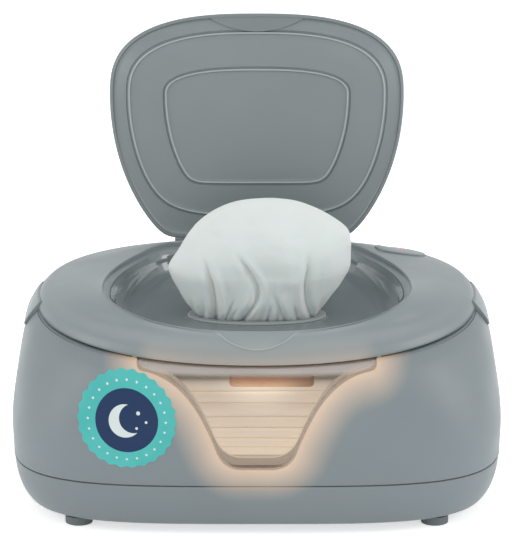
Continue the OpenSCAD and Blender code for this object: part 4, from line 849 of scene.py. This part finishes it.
SCOOP_R, SCOOP_REACH, SCOOP_DEPTH = 23.2, 12.2, 0.8
scoop_front_z = COVER_Z - SEAM_SLOPE * (RECESS_FRONT + SCOOP_REACH) + SHOULDER_H * 0.8
scoop_rear_z = RECESS_Z - RECESS_SLOPE * RECESS_FRONT - SCOOP_DEPTH
scoop = rod(SCOOP_R, 0, 20, at=(0, SCOOP_R), segments=160)
bmesh.ops.rotate(scoop, cent=(0, 0, 0), verts=scoop.verts,
                 matrix=Matrix.Rotation(math.atan((scoop_rear_z - scoop_front_z) / SCOOP_REACH), 3, "X"))
bmesh.ops.translate(scoop, vec=(0, -RECESS_FRONT - SCOOP_REACH, scoop_front_z), verts=scoop.verts)

BUTTON_X, BUTTON_Y, BUTTON_TURN = 76.0, 50.0, math.radians(-20)
SWITCH_Z = 103.55
BUTTON_LOW, BUTTON_ROOF = SWITCH_Z + 2.05, SWITCH_Z + 4.5


def button_outline(by):
    turn = Matrix.Rotation(BUTTON_TURN, 2)
    return [tuple(turn @ Vector(p) + Vector((BUTTON_X, BUTTON_Y))) for p in oval(13.5 + by, 7.5 + by, 2.3)]


LID_LIFT = 0.4
LID_AXIS_Y, LID_AXIS_Z = LID_REAR + 6.3, ledge_height(LID_REAR) + LID_LIFT - 3.6
ARM_IN, ARM_W, ARM_SWING = 11.6, 8.0, 7.7
ARM_PLACES = (-ARM_IN - ARM_W, ARM_IN)


def arm_slot(x0):
    """Room in the cover for a lid arm to swing."""
    turns = [math.radians(a) for a in range(-20, 201, 10)]
    corner = [(LID_AXIS_Y + ARM_SWING * math.cos(a), LID_AXIS_Z + ARM_SWING * math.sin(a)) for a in turns]
    return prism(corner, x0 - SIDE_GAP, x0 + ARM_W + SIDE_GAP, "x")


cover = carve(cover, [scoop, prism(button_outline(0.35), 101.0, 130.0)]
              + [latch_cut(s, KEEPER_X + KEEPER_T) for s in (-1, 1)] + barrel_room(BODY_BARRELS))
housing = block((2 * (ARM_IN + ARM_W + 5), 9.6, 12.2), (0, RECESS_REAR + 5.2, LID_AXIS_Z - 5 + 6.1),
                soft=0.3)
under_crown = skin([flat_ring(oval(RIM_A, RIM_B, RIM_SQ), 80), level_ring(cover_seam, 0.2)]
                   + [[p - Vector((0, 0, 0.4)) for p in ring] for ring in crown_rings[2:]], cap=True)
housing = carve(housing, [under_crown], "INTERSECT")
cover = carve(cover, [housing] + barrel_tools(COVER_BARRELS, ((-8.8, 0.0), (0.3, 3.6))), "UNION")
cover = carve(cover, [arm_slot(x0) for x0 in ARM_PLACES])

# Soft raised lip round the front of the thumb scoop
LIP_R, LIP_STEPS, LIP_SIDES = 0.85, 56, 10
lip_turn = math.acos(1 - SCOOP_REACH / SCOOP_R) * 1.02
lip_line = []
for k in range(LIP_STEPS + 1):
    a = -math.pi / 2 + lip_turn * (2 * k / LIP_STEPS - 1)
    x = (SCOOP_R + 0.5) * math.cos(a)
    y = -RECESS_FRONT - SCOOP_REACH + SCOOP_R + (SCOOP_R + 0.5) * math.sin(a)
    lip_line.append(Vector((x, y, cover_height(x, y) - 0.45)))
lip_rings = []
for k, spot in enumerate(lip_line):
    run = (lip_line[min(k + 1, LIP_STEPS)] - lip_line[max(k - 1, 0)]).normalized()
    out = run.cross(Vector((0, 0, 1))).normalized()
    size = LIP_R * math.sqrt(max(0.02, 1 - abs(2 * k / LIP_STEPS - 1) ** 6))
    lip_rings.append([spot + out * (size * math.cos(2 * math.pi * i / LIP_SIDES))
                      + run.cross(out) * (-size * math.sin(2 * math.pi * i / LIP_SIDES))
                      for i in range(LIP_SIDES)])
cover = carve(cover, [skin(lip_rings, cap=True)], "UNION")
hinged_cover = piece("hinged_cover", cover, cover_finish, "cover", ["top_cover"])
mark_window(hinged_cover, gap_to_seam)
# Points near the crest of the scoop's lip, for its painted highlight
mark_crests(hinged_cover, [[spot + Vector((0, 0, LIP_R)) for spot in lip_line[1:-1]]], 0.8)

# Bowl that the wipes come up through, and the soft ring in its slot
BOWL_Y, BOWL_T, BOWL_H = -4.0, 2.0, 13.5
FLOOR_Z = ledge_height(BOWL_Y) - BOWL_H
EDGE = LEDGE_W + 0.3


def slot_points(by):
    return [(x, y + BOWL_Y) for x, y in oval(31 + by, 12 + by, 2.2)]


def slot_rings(*spots):
    """Level rings round the slot, each with its distance outwards and height over the bowl's floor."""
    return [flat_ring(slot_points(by), FLOOR_Z + up) for by, up in spots]


bowl_top = rings_of(ledge_ring, (EDGE, -0.05), (EDGE + 1.6, -2), (EDGE + 2.6, -6), (EDGE + 4.6, -9.6),
                    (EDGE + 9, -11.8), (EDGE + 16, -12.6)) + slot_rings((8, 0.02))
bowl_rings = faired(bowl_top, 6)
bowl_rings += slot_rings((3, 0), (2.3, -0.5), (2.3, -BOWL_T), (7, -BOWL_T))
bowl_rings += rings_of(ledge_ring, (EDGE + 15.4, -12.6 - BOWL_T), (EDGE + 8, -13.6), (EDGE + 3, -10.8),
                       (EDGE + 0.8, -6.4), (EDGE + 0.3, -4.2), (-0.6, -4.2), (-0.6, -2.4), (EDGE, -2.4))
bowl = carve(skin(bowl_rings, close=True), [block((60, 20, 40), (0, RECESS_REAR + 7.4, 100))])
piece("wipe_bowl", bowl, bowl_finish, "cover", ["dispensing_bowl"], sharp=40)
ring = skin(slot_rings((5, 0.05), (4.9, 0.5), (4.3, 0.9), (1, 0.9), (0.4, 0.6), (0, -BOWL_T - 0.6),
                       (1.9, -BOWL_T - 0.6), (1.9, 0.05)), close=True)
piece("soft_slot_ring", ring, ring_finish, "cover", ["slot_ring"])

# ---- Lid, drawn closed and then turned open ------------------------------------------------

LID_OPEN = math.radians(100)


def lid_ring(inset, height, corner=30.0):
    return lifted(flat_ring(lid_outline(inset, corner), LEDGE_Z + LID_LIFT + height, LEDGE_SLOPE), inset)


LID_TURN, LID_PIN = Matrix.Rotation(-LID_OPEN, 3, "X"), Vector((0, LID_AXIS_Y, LID_AXIS_Z))


def opened(shape):
    bmesh.ops.rotate(shape, cent=LID_PIN, matrix=LID_TURN, verts=shape.verts)
    return shape


lid_outer = faired(rings_of(lid_ring, (0, 0.5), (0.2, 2.6), (1.4, 4.4), (4, 5.6), (10, 6.4), (26, 7)), 5)
lid_inner = rings_of(lid_ring, (1.8, 0.3), (1.8, 0.6), (2.0, 2.6), (4.2, 4.0), (9.8, 4.6), (26, 5.2))
top_ring, under_ring = lid_outer[-1], lid_inner[-1]
lid_rings = [shrunk(top_ring, *spot) for spot in ((0.02, 0.35), (0.35, 0.3), (0.7, 0.16))] + lid_outer[::-1]
lid_rings += rings_of(lid_ring, (0.1, 0.28), (0.35, 0.1), (0.8, 0.0), (1.4, 0.0), (1.7, 0.1)) + lid_inner
lid_rings += [shrunk(under_ring, 0.6), shrunk(under_ring, 0.05)]
lid = skin(lid_rings, cap=True)
TAB_R, TAB_DEPTH = 48.5, 9.6
TAB_Y = -LID_FRONT + TAB_DEPTH - TAB_R
tab_low, tab_high = lid_ring(26, 0.5), lid_ring(26, 2.5)
tab = skin([shrunk(tab_low, 0.05), tab_low, lid_ring(0.9, 0.5), lid_ring(0.9, 2.5), tab_high,
            shrunk(tab_high, 0.05)], cap=True)
tab = carve(tab, [rod(TAB_R, 50, 150, at=(0, TAB_Y), segments=256)], "INTERSECT")
arm_side = [(LID_AXIS_Y + u, LID_AXIS_Z + v)
            for u, v in [(-1.7, -1.9), (-6.9, 3.75), (-6.9, 5.3), (-4.6, 5.4), (2.3, 1.2)]]
arms = [prism(arm_side, x0, x0 + ARM_W, "x") for x0 in reversed(ARM_PLACES)]
arms += [rod(2.6, x0, x0 + ARM_W, "x", at=(LID_AXIS_Y, LID_AXIS_Z), soft=0.3) for x0 in reversed(ARM_PLACES)]
lid = carve(lid, [tab] + arms, "UNION")
piece("flip_lid", opened(lid), lid_finish, "lid", ["lid_shell"])

PANEL, PANEL_T, BEAD = 1.5, 1.1, 1.4
BEAD_CREST = PANEL - 0.62 * BEAD
BEADS = ((30, 14), (10.4, 6))


def bead_rings(inset, corner):
    """Half-round bead across the panel, from its inside to its outside."""
    spots = [(0.78, 0.0), (0.62, -0.05), (0.48, -0.28), (0.28, -0.54), (0.0, -0.62), (-0.28, -0.54),
             (-0.46, -0.28), (-0.56, 0.1), (-0.74, 0.34), (-0.94, 0.34), (-1.2, 0.0)]
    return [lid_ring(inset + u * BEAD, PANEL + v * BEAD, corner) for u, v in spots]


field, back = lid_ring(32.4, PANEL), lid_ring(20, PANEL + PANEL_T)
panel_rings = [shrunk(field, 0.03), shrunk(field, 0.5), field] + bead_rings(*BEADS[0])
panel_rings += [lid_ring(20, PANEL, 9), lid_ring(14, PANEL, 7)] + bead_rings(*BEADS[1])
panel_rings += [lid_ring(6, PANEL, 14)] + [lid_ring(inset, PANEL + up) for inset, up in (
    (4.2, 0.0), (3.2, -0.12), (2.5, -0.5), (1.95, -1.2), (1.9, -1.0), (2.1, 0.35), (2.25, PANEL_T),
    (8, PANEL_T), (14, PANEL_T))] + [back, shrunk(back, 0.05)]
panel = carve(skin(panel_rings, cap=True), [rod(TAB_R + 0.2, 50, 150, at=(0, TAB_Y), segments=256)])
panel = piece("lid_inner_panel", opened(panel), panel_finish, "lid", ["lid_liner"])
# Points near the crests of the panel's beads, for their painted highlight
crests = [lid_ring(inset, BEAD_CREST, corner) for inset, corner in BEADS]
mark_crests(panel, [[LID_TURN @ (spot - LID_PIN) + LID_PIN for spot in ring] for ring in crests], 0.62)

# ---- Button, latches and lamp --------------------------------------------------------------

BUTTON_PROUD, LENS_R, LENS_LOW = 0.9, 2.6, 108.75
button_at = (BUTTON_X, BUTTON_Y)
button_rings = [flat_ring(button_outline(by), BUTTON_LOW + up)
                for by, up in ((0.9, 0.0), (0.9, 1.0), (0.0, 1.05))]
for inset, drop in ((0.0, 0.55), (-0.12, 0.22), (-0.4, 0.04), (-1.0, 0.0), (-3.0, -0.04), (-5.0, -0.05),
                    (-7.2, -0.05)):
    button_rings.append([Vector((x, y, cover_height(x, y) + BUTTON_PROUD - drop))
                         for x, y in button_outline(inset)])
button = carve(skin(button_rings, cap=True), [rod(LENS_R + 0.08, LENS_LOW + 0.25, 130.0, at=button_at),
                                              prism(button_outline(-1.6), 104.0, BUTTON_ROOF)])
piece("light_button", button, latch_finish, "button", ["night_light_button"])

# Spring between the switch board and the button
COIL_LOW, COIL_HIGH, COIL_R, WIRE_R, COIL_STEPS = 104.58, 107.82, 3.1, 0.2, 96
coil_rings = []
for k in range(COIL_STEPS + 1):
    turn = 4 * math.pi * k / COIL_STEPS
    out = Vector((math.cos(turn), math.sin(turn), 0))
    spot = out * COIL_R + Vector((*button_at, COIL_LOW + (COIL_HIGH - COIL_LOW) * k / COIL_STEPS))
    coil_rings.append([spot + out * (WIRE_R * math.cos(math.pi * i / 5))
                       + Vector((0, 0, WIRE_R * math.sin(math.pi * i / 5))) for i in range(10)])
coil = skin(coil_rings, cap=True)
coil = piece("button_coil_spring", coil, steel_finish, "button", ["button_spring"])
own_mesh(coil)
lens_top = cover_height(*button_at) + BUTTON_PROUD + 0.1
lens = rod(LENS_R, LENS_LOW, lens_top, at=button_at, soft=0.35)
piece("button_lens", lens, lens_finish, "button", ["indicator_lens"])

# The latch's outside stands out from the wall and bulges most at the seam
LATCH_PROUD, LATCH_BULGE = 0.8, 1.7
latch_shell = faired([level_ring(BODY_LEVELS[i], -LATCH_PROUD - LATCH_BULGE * share)
                      for i, share in ((2, 0.0), (3, 0.1), (4, 0.6), (5, 1.0))], 5)
latch_top = oval(RIM_A + LATCH_PROUD - LATCH_BULGE * 3, RIM_B + LATCH_PROUD, RIM_SQ)
latch_skin = skin(latch_shell + [flat_ring(latch_top, COVER_Z + 10)], cap=True)
LATCH_IN = RIM_A - LATCH_T
for word, mirror in (("left", True), ("right", False)):
    plate = carve(prism(latch_outline(0.0), LATCH_IN, 150.0, "x"), [latch_skin.copy()], "INTERSECT")
    arm = block((LATCH_IN - HOOK_X + 1, 12, 2.5), ((LATCH_IN + HOOK_X + 1) / 2, LATCH_Y, LATCH_LOW + 4.25))
    hook = block((HOOK_T, 12, 10.5), (HOOK_X + HOOK_T / 2, LATCH_Y, LATCH_LOW + 8.25))
    plate = joined(plate, arm, hook)
    piece(word + "_side_latch", mirrored(plate) if mirror else plate, latch_finish, "latch_" + word,
          [word + "_latch"], bevel=0.5, merge=0.1)

LAMP_X, LAMP_MID_Y, LAMP_W, LAMP_D = 7.5, -69.5, 43.0, 8.0
bar = block((LAMP_W, LAMP_D, 8.05), (LAMP_X, LAMP_MID_Y, 79.525), soft=2.2)
bar = joined(bar, block((LAMP_W - 3, LAMP_D - 3, 2.0), (LAMP_X, LAMP_MID_Y, 83.5)))
piece("lamp_bar", bar, amber, "cover", ["lamp_diffuser"])

# ---- Wipes ---------------------------------------------------------------------------------

LEAF_LEVELS = [32.8, 36.9, 41.9, 47.2, 53.5, 60.4, 67.2, 73.7]
LEAF_W, LEAF_D, LEAF_CORNER, LEAF_GAP = 168.0, 114.0, 40.0, 0.06


def slab_outline(w, d, corner):
    """A rounded rectangle with the ring's number of points."""
    points = []
    for t in ANGLES:
        c, s = math.cos(t), math.sin(t)
        points.append((math.copysign(w / 2 - corner, c) + corner * c,
                       math.copysign(d / 2 - corner, s) + corner * s))
    return points


LEAF_PROFILE = [(0.02, 0.0), (0.5, 0.0), (0.9, 0.0), (0.965, 0.02), (0.987, 0.12), (0.997, 0.3), (1.0, 0.5),
                (0.997, 0.7), (0.987, 0.88), (0.965, 0.98), (0.9, 1.0), (0.5, 1.0), (0.02, 1.0)]


def wander(*at):
    return soft_noise(Vector(at))


def leaf_wave(x, y, level):
    """How far the fold between two wipes rises and dips along the pile."""
    return (0.85 * wander(x * 0.035, y * 0.03, level * 3.1)
            + 0.3 * wander(x * 0.13, y * 0.1, level * 5.3))


for index, (low, high) in enumerate(zip(LEAF_LEVELS, LEAF_LEVELS[1:])):
    inset = 0.8 * (index % 2) + 0.6 * (index % 3)
    rings = []
    for share, height in LEAF_PROFILE:
        ring = []
        for x, y in slab_outline((LEAF_W - inset) * share, (LEAF_D - inset) * share, LEAF_CORNER * share):
            shift = 0.7 * wander(x * 0.05, index * 2.3, height)
            floor_wave = 0.0 if index == 0 else leaf_wave(x, y, index)
            thick = high - low - 2 * LEAF_GAP + leaf_wave(x, y, index + 1) - floor_wave
            ring.append(Vector((x, y + shift, low + LEAF_GAP + floor_wave + thick * height)))
        rings.append(ring)
    leaf = piece("wipe_leaf_%d" % (index + 1), skin(rings, cap=True), pile, "body",
                 ["wipe_stack"] if index == 0 else [], sharp=80)


def along(table, at, column):
    """One column of a table, read on a smooth curve at a value of its first column."""
    if at <= table[0][0]:
        return table[0][column]
    if at >= table[-1][0]:
        return table[-1][column]
    i = next(k for k in range(len(table) - 1) if at <= table[k + 1][0])
    low, high = table[i], table[i + 1]
    before, after = table[max(0, i - 1)], table[min(len(table) - 1, i + 2)]
    h = high[0] - low[0]
    rise_low = (high[column] - before[column]) / (high[0] - before[0])
    rise_high = (after[column] - low[column]) / (after[0] - low[0])
    t = (at - low[0]) / h
    return ((2 * t ** 3 - 3 * t ** 2 + 1) * low[column] + (t ** 3 - 2 * t ** 2 + t) * h * rise_low
            + (3 * t ** 2 - 2 * t ** 3) * high[column] + (t ** 3 - t ** 2) * h * rise_high)


def eased(value):
    value = share_of(value)
    return value * value * (3 - 2 * value)


# Height, left edge, right edge, half depth and lean to the back
WIPE_FORM = [(88.0, -29.6, 29.6, 10.4, 0.0), (91.5, -30.4, 30.4, 11.0, 0.0), (93.4, -31.8, 31.6, 12.4, 0.1),
             (96.0, -34.2, 33.2, 13.8, 0.3), (101.0, -37.8, 37.2, 15.6, 0.9),
             (108.0, -42.0, 42.8, 17.0, 2.2), (114.5, -45.2, 46.8, 18.4, 3.2),
             (117.0, -45.6, 47.8, 18.6, 3.8), (119.0, -44.6, 48.2, 18.8, 4.2),
             (125.0, -40.5, 48.4, 18.6, 5.2), (132.0, -36.2, 48.2, 17.2, 6.6),
             (135.5, -33.6, 47.0, 16.0, 7.4), (139.0, -30.6, 43.2, 14.6, 8.2),
             (143.2, -25.2, 36.6, 12.0, 9.2), (147.0, -18.0, 28.6, 8.8, 9.8), (149.8, -9.5, 20.5, 5.4, 10.2),
             (151.4, 2.0, 11.0, 1.2, 10.4)]
# Folds that run up from the slot: half width, depth, length of the fading end, steeper side,
# and the height and place of each point
WIPE_FOLDS = [(1.45, 5.6, 15.0, 1, [(88, -20.6), (97, -20.8), (108, -21.6), (119, -24.4), (128, -28.4)]),
              (1.35, 5.0, 12.0, 1, [(88, -9.0), (92, -6.6), (98, -3.6), (105, 0.0), (112, 0.8),
                                    (120, -3.4), (130, -11.0)]),
              (1.25, 5.2, 16.0, -1, [(88, 28.8), (98, 26.2), (108, 24.6), (118, 25.2), (131, 26.4)]),
              (0.9, 3.0, 8.0, 1, [(88, -28.8), (98, -26.4), (107, -28.6)]),
              (0.8, 3.2, 8.0, -1, [(88, -17.4), (95, -15.6), (106, -11.6)]),
              (1.0, 3.4, 11.0, 1, [(88, 15.2), (95, 14.0), (110, 8.6)]),
              (0.9, 3.0, 8.0, -1, [(88, 31.6), (98, 32.4), (106, 35.6)]),
              (0.8, 2.6, 7.0, 1, [(88, 21.6), (95, 20.8), (104, 18.8)]),
              (0.8, 2.6, 7.0, -1, [(88, 4.4), (94, 5.6), (103, 7.2)]),
              (0.8, 2.2, 6.0, 1, [(88, -33.6), (98, -32.4), (106, -34.6)]),
              (0.7, 2.2, 6.0, 1, [(88, -13.2), (94, -12.2), (101, -9.4)]),
              (0.7, 2.0, 6.0, -1, [(88, 10.2), (94, 10.4), (101, 12.0)])]
# Swells and hollows higher up: place, height, reach across and up, and depth
WIPE_SWELLS = [(-14, 126, 9, 14, 2.6), (9, 134, 11, 15, 2.0), (-33, 117, 8, 12, 2.0), (37, 122, 7, 15, 3.0),
               (-25, 138, 7, 9, -1.6), (19, 112, 6, 13, 2.0), (-3, 104, 5, 9, 1.6), (28, 141, 8, 7, -1.4),
               (14, 122, 5, 18, 1.2), (-4, 142, 6, 9, -1.0)]
WIPE_COLS, WIPE_ROWS, WIPE_LOW, WIPE_TOP, WIPE_SQ = 300, 110, 88.0, 151.4, 2.2
# The folds' share of their depth, and the heights between which the slot's ring still holds the cloth in
FOLD_SHARE, HELD_LOW, HELD_HIGH = 0.8, 91.5, 99.5


def wipe_fold(x, z):
    """How far the cloth stands out or is drawn in at a place on its front."""
    out = sum(deep * math.exp(-((x - cx) / rx) ** 2 - ((z - cz) / rz) ** 2)
              for cx, cz, rx, rz, deep in WIPE_SWELLS)
    for half, deep, fade, side, path in WIPE_FOLDS:
        if z < path[-1][0]:
            off = side * (x - along(path, z, 1)) / half
            if abs(off) < 8:
                valley = math.exp(-abs(off * (1.7 if off > 0 else 0.8)) ** 1.35)
                ridge = (0.42 * math.exp(-((off - 2.0) / 1.4) ** 2)
                         + 0.24 * math.exp(-((off + 3.0) / 2.0) ** 2))
                out -= FOLD_SHARE * deep * eased((path[-1][0] - z) / fade) * (valley - ridge)
    return min(out, 0.3 + 3.0 * eased((z - HELD_LOW) / (HELD_HIGH - HELD_LOW))) if z < HELD_HIGH else out


def wipe_ring(row):
    z = WIPE_LOW + (WIPE_TOP - WIPE_LOW) * (1 - (1 - row / WIPE_ROWS) ** 1.6)
    left, right, deep, lean = (along(WIPE_FORM, z, column) for column in (1, 2, 3, 4))
    ring = []
    for i in range(WIPE_COLS):
        t = 2 * math.pi * i / WIPE_COLS
        k = stretch(t, WIPE_SQ)
        x = (left + right) / 2 + (right - left) / 2 * k * math.cos(t)
        back = math.sin(t) > 0
        at = 2 - x * 0.93 if back else x
        out = wipe_fold(at, z) + 1.3 * wander(at * 0.055, z * 0.05, 8.0 if back else 3.0)
        out += 0.55 * wander(at * 0.25, z * 0.04, 1.0) * eased((128 - z) / 30)
        out += 0.3 * wander(at * 0.1 + z * 0.06, z * 0.16 - at * 0.03, 5.0)
        out *= abs(math.sin(t)) ** 0.6 * eased((WIPE_TOP + 1 - z) / 16)
        y = deep * k * math.sin(t) + (out if back else -out)
        ring.append(Vector((x + 0.5 * wander(z * 0.13, t, 0.0), BOWL_Y + lean + y, z)))
    return ring


wipe_rings = [wipe_ring(row) for row in range(WIPE_ROWS + 1)]
cloth = skin(wipe_rings + [shrunk(wipe_rings[-1], 0.1, 0.1)], cap=False)
bmesh.ops.smooth_vert(cloth, verts=cloth.verts, factor=0.35, use_axis_x=True, use_axis_y=True,
                      use_axis_z=True)
wipe = piece("raised_cloth_wipe", cloth, cotton, "cover", ["raised_wipe"], sharp=180,
             merge=0)
thick = wipe.modifiers.new("thickness", "SOLIDIFY")
thick.thickness = 0.0005
thick.offset = 0.0
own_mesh(wipe)

# ---- Sticker on the casing ---------------------------------------------------------------

body_skin = BVHTree.FromBMesh(skin(pane_rings))


def on_body(x, z, proud):
    hit, normal = body_skin.ray_cast(Vector((x, -150.0, z)), Vector((0, 1, 0)))[:2]
    return hit + (normal if normal.y < 0 else -normal) * proud


STICKER_X, STICKER_Z, STICKER_R = -65.4, 62.4, 25.2
SCALLOPS, STICKER_T = 26, 0.3
STICKER_ANGLES = [2 * math.pi * i / 432 for i in range(432)]


def sticker_ring(radius, scallop=0.0, proud=STICKER_T):
    ring = []
    for t in STICKER_ANGLES:
        reach = radius + scallop * math.cos(SCALLOPS * t)
        ring.append(on_body(STICKER_X + reach * math.cos(t), STICKER_Z + reach * math.sin(t) * 0.98, proud))
    return ring


sticker = skin(rings_of(sticker_ring, (0.3,), (5,), (10,), (15,), (15.6,), (19,), (23.6, 0.2),
                        (STICKER_R - 0.6, 0.5, 0.28), (STICKER_R - 0.5, 0.5, 0.02)), cap=True)
vinyl = Finish("sticker_teal", linear(84, 192, 188), 0.5, Specular_IOR_Level=0.25)
side, _, up = vinyl.xyz()
side, up = vinyl.less(side, STICKER_X * 0.001), vinyl.less(up, STICKER_Z * 0.001)
navy = vinyl.remap(vinyl.span(side, up), 0.0158, 0.0160, 1.0, 0.0, True)


def dot(x, z, size):
    """One where the sticker's face lies within a round spot, and nothing outside it."""
    away = vinyl.span(vinyl.less(side, x), vinyl.less(up, z))
    return vinyl.remap(away, size, size + 0.00018, 1.0, 0.0, True)


# A crescent with three small spots, and a ring of dots
DOTS, DOT_RING = 24, 0.0197
marks = vinyl.times(dot(-0.0008, 0.0, 0.0082), vinyl.less(1.0, dot(0.0034, 0.0014, 0.0072)))
spots = [(0.0058, 0.0042, 0.0009), (0.0098, -0.0002, 0.0006), (0.0050, -0.0034, 0.0006)]
turns = [2 * math.pi * i / DOTS for i in range(DOTS)]
spots += [(DOT_RING * math.cos(turn), DOT_RING * math.sin(turn), 0.0005) for turn in turns]
for spot in spots:
    marks = vinyl.math("MAXIMUM", marks, dot(*spot))
teal = vinyl.blend(vinyl.remap(vinyl.noise(40.0), 0.3, 0.7, 0.0, 1.0), linear(78, 188, 184),
                   linear(92, 200, 195))
painted = vinyl.blend(navy, teal, linear(30, 54, 92))
vinyl.paint(vinyl.blend(marks, painted, linear(226, 238, 238)))
vinyl.polish(0.05)
vinyl.bump(vinyl.noise(500.0), 0.05, 0.0001)
piece("round_sticker", sticker, vinyl, "body", sharp=60, merge=0)

# ---- Floor, backdrop and light -----------------------------------------------------------

FLOOR_LIFT, SKY_LIGHT = 0.58, 0.5


def seen_by(tree, otherwise, seen):
    """A strength for rays that show the backdrop, also mirrored or through glass, and one for the rest."""
    path = tree.nodes.new("ShaderNodeLightPath")
    total = path.outputs["Is Camera Ray"]
    for ray in ("Is Glossy Ray", "Is Transmission Ray"):
        most = tree.nodes.new("ShaderNodeMath")
        most.operation = "MAXIMUM"
        tree.links.new(total, most.inputs[0])
        tree.links.new(path.outputs[ray], most.inputs[1])
        total = most.outputs[0]
    choice = tree.nodes.new("ShaderNodeMapRange")
    choice.inputs["To Min"].default_value = otherwise
    choice.inputs["To Max"].default_value = seen
    tree.links.new(total, choice.inputs["Value"])
    return choice.outputs[0]


floor_mesh = bmesh.new()
bmesh.ops.create_grid(floor_mesh, x_segments=1, y_segments=1, size=6.0)
floor = placed("floor", mesh_of(floor_mesh, "floor"))
floor_finish = Finish("floor_white", (0.92, 0.92, 0.92, 1), 0.9, Specular_IOR_Level=0.1)
floor_finish.glow((1, 1, 1, 1), seen_by(floor_finish.tree, 0.1, FLOOR_LIFT))
floor.data.materials.append(floor_finish.material)

world = bpy.data.worlds.new("studio")
bpy.context.scene.world = world
world.use_nodes = True
sky = world.node_tree
background = sky.nodes["Background"]
sky.links.new(seen_by(sky, SKY_LIGHT, 1.0), background.inputs["Strength"])
background.inputs["Color"].default_value = (1, 1, 1, 1)


def soft_lamp(name, place, size, watts):
    data = bpy.data.lights.new(name, "AREA")
    data.shape = "RECTANGLE"
    data.size, data.size_y = size
    data.energy = watts
    lamp = placed(name, data)
    lamp.location = place
    lamp.rotation_euler = (LAMP_AIM - Vector(place)).to_track_quat("-Z", "Y").to_euler()


LAMP_AIM = Vector((0, 0, 0.1))
soft_lamp("top_softbox", (0.0, 0.5, 1.5), (1.4, 1.0), 5)
soft_lamp("front_softbox", (0.0, -2.3, 0.55), (1.8, 0.7), 4.7)
soft_lamp("left_softbox", (-1.5, -0.5, 0.8), (0.9, 1.2), 7.4)
soft_lamp("right_softbox", (1.5, -0.4, 0.8), (0.9, 1.2), 8.4)
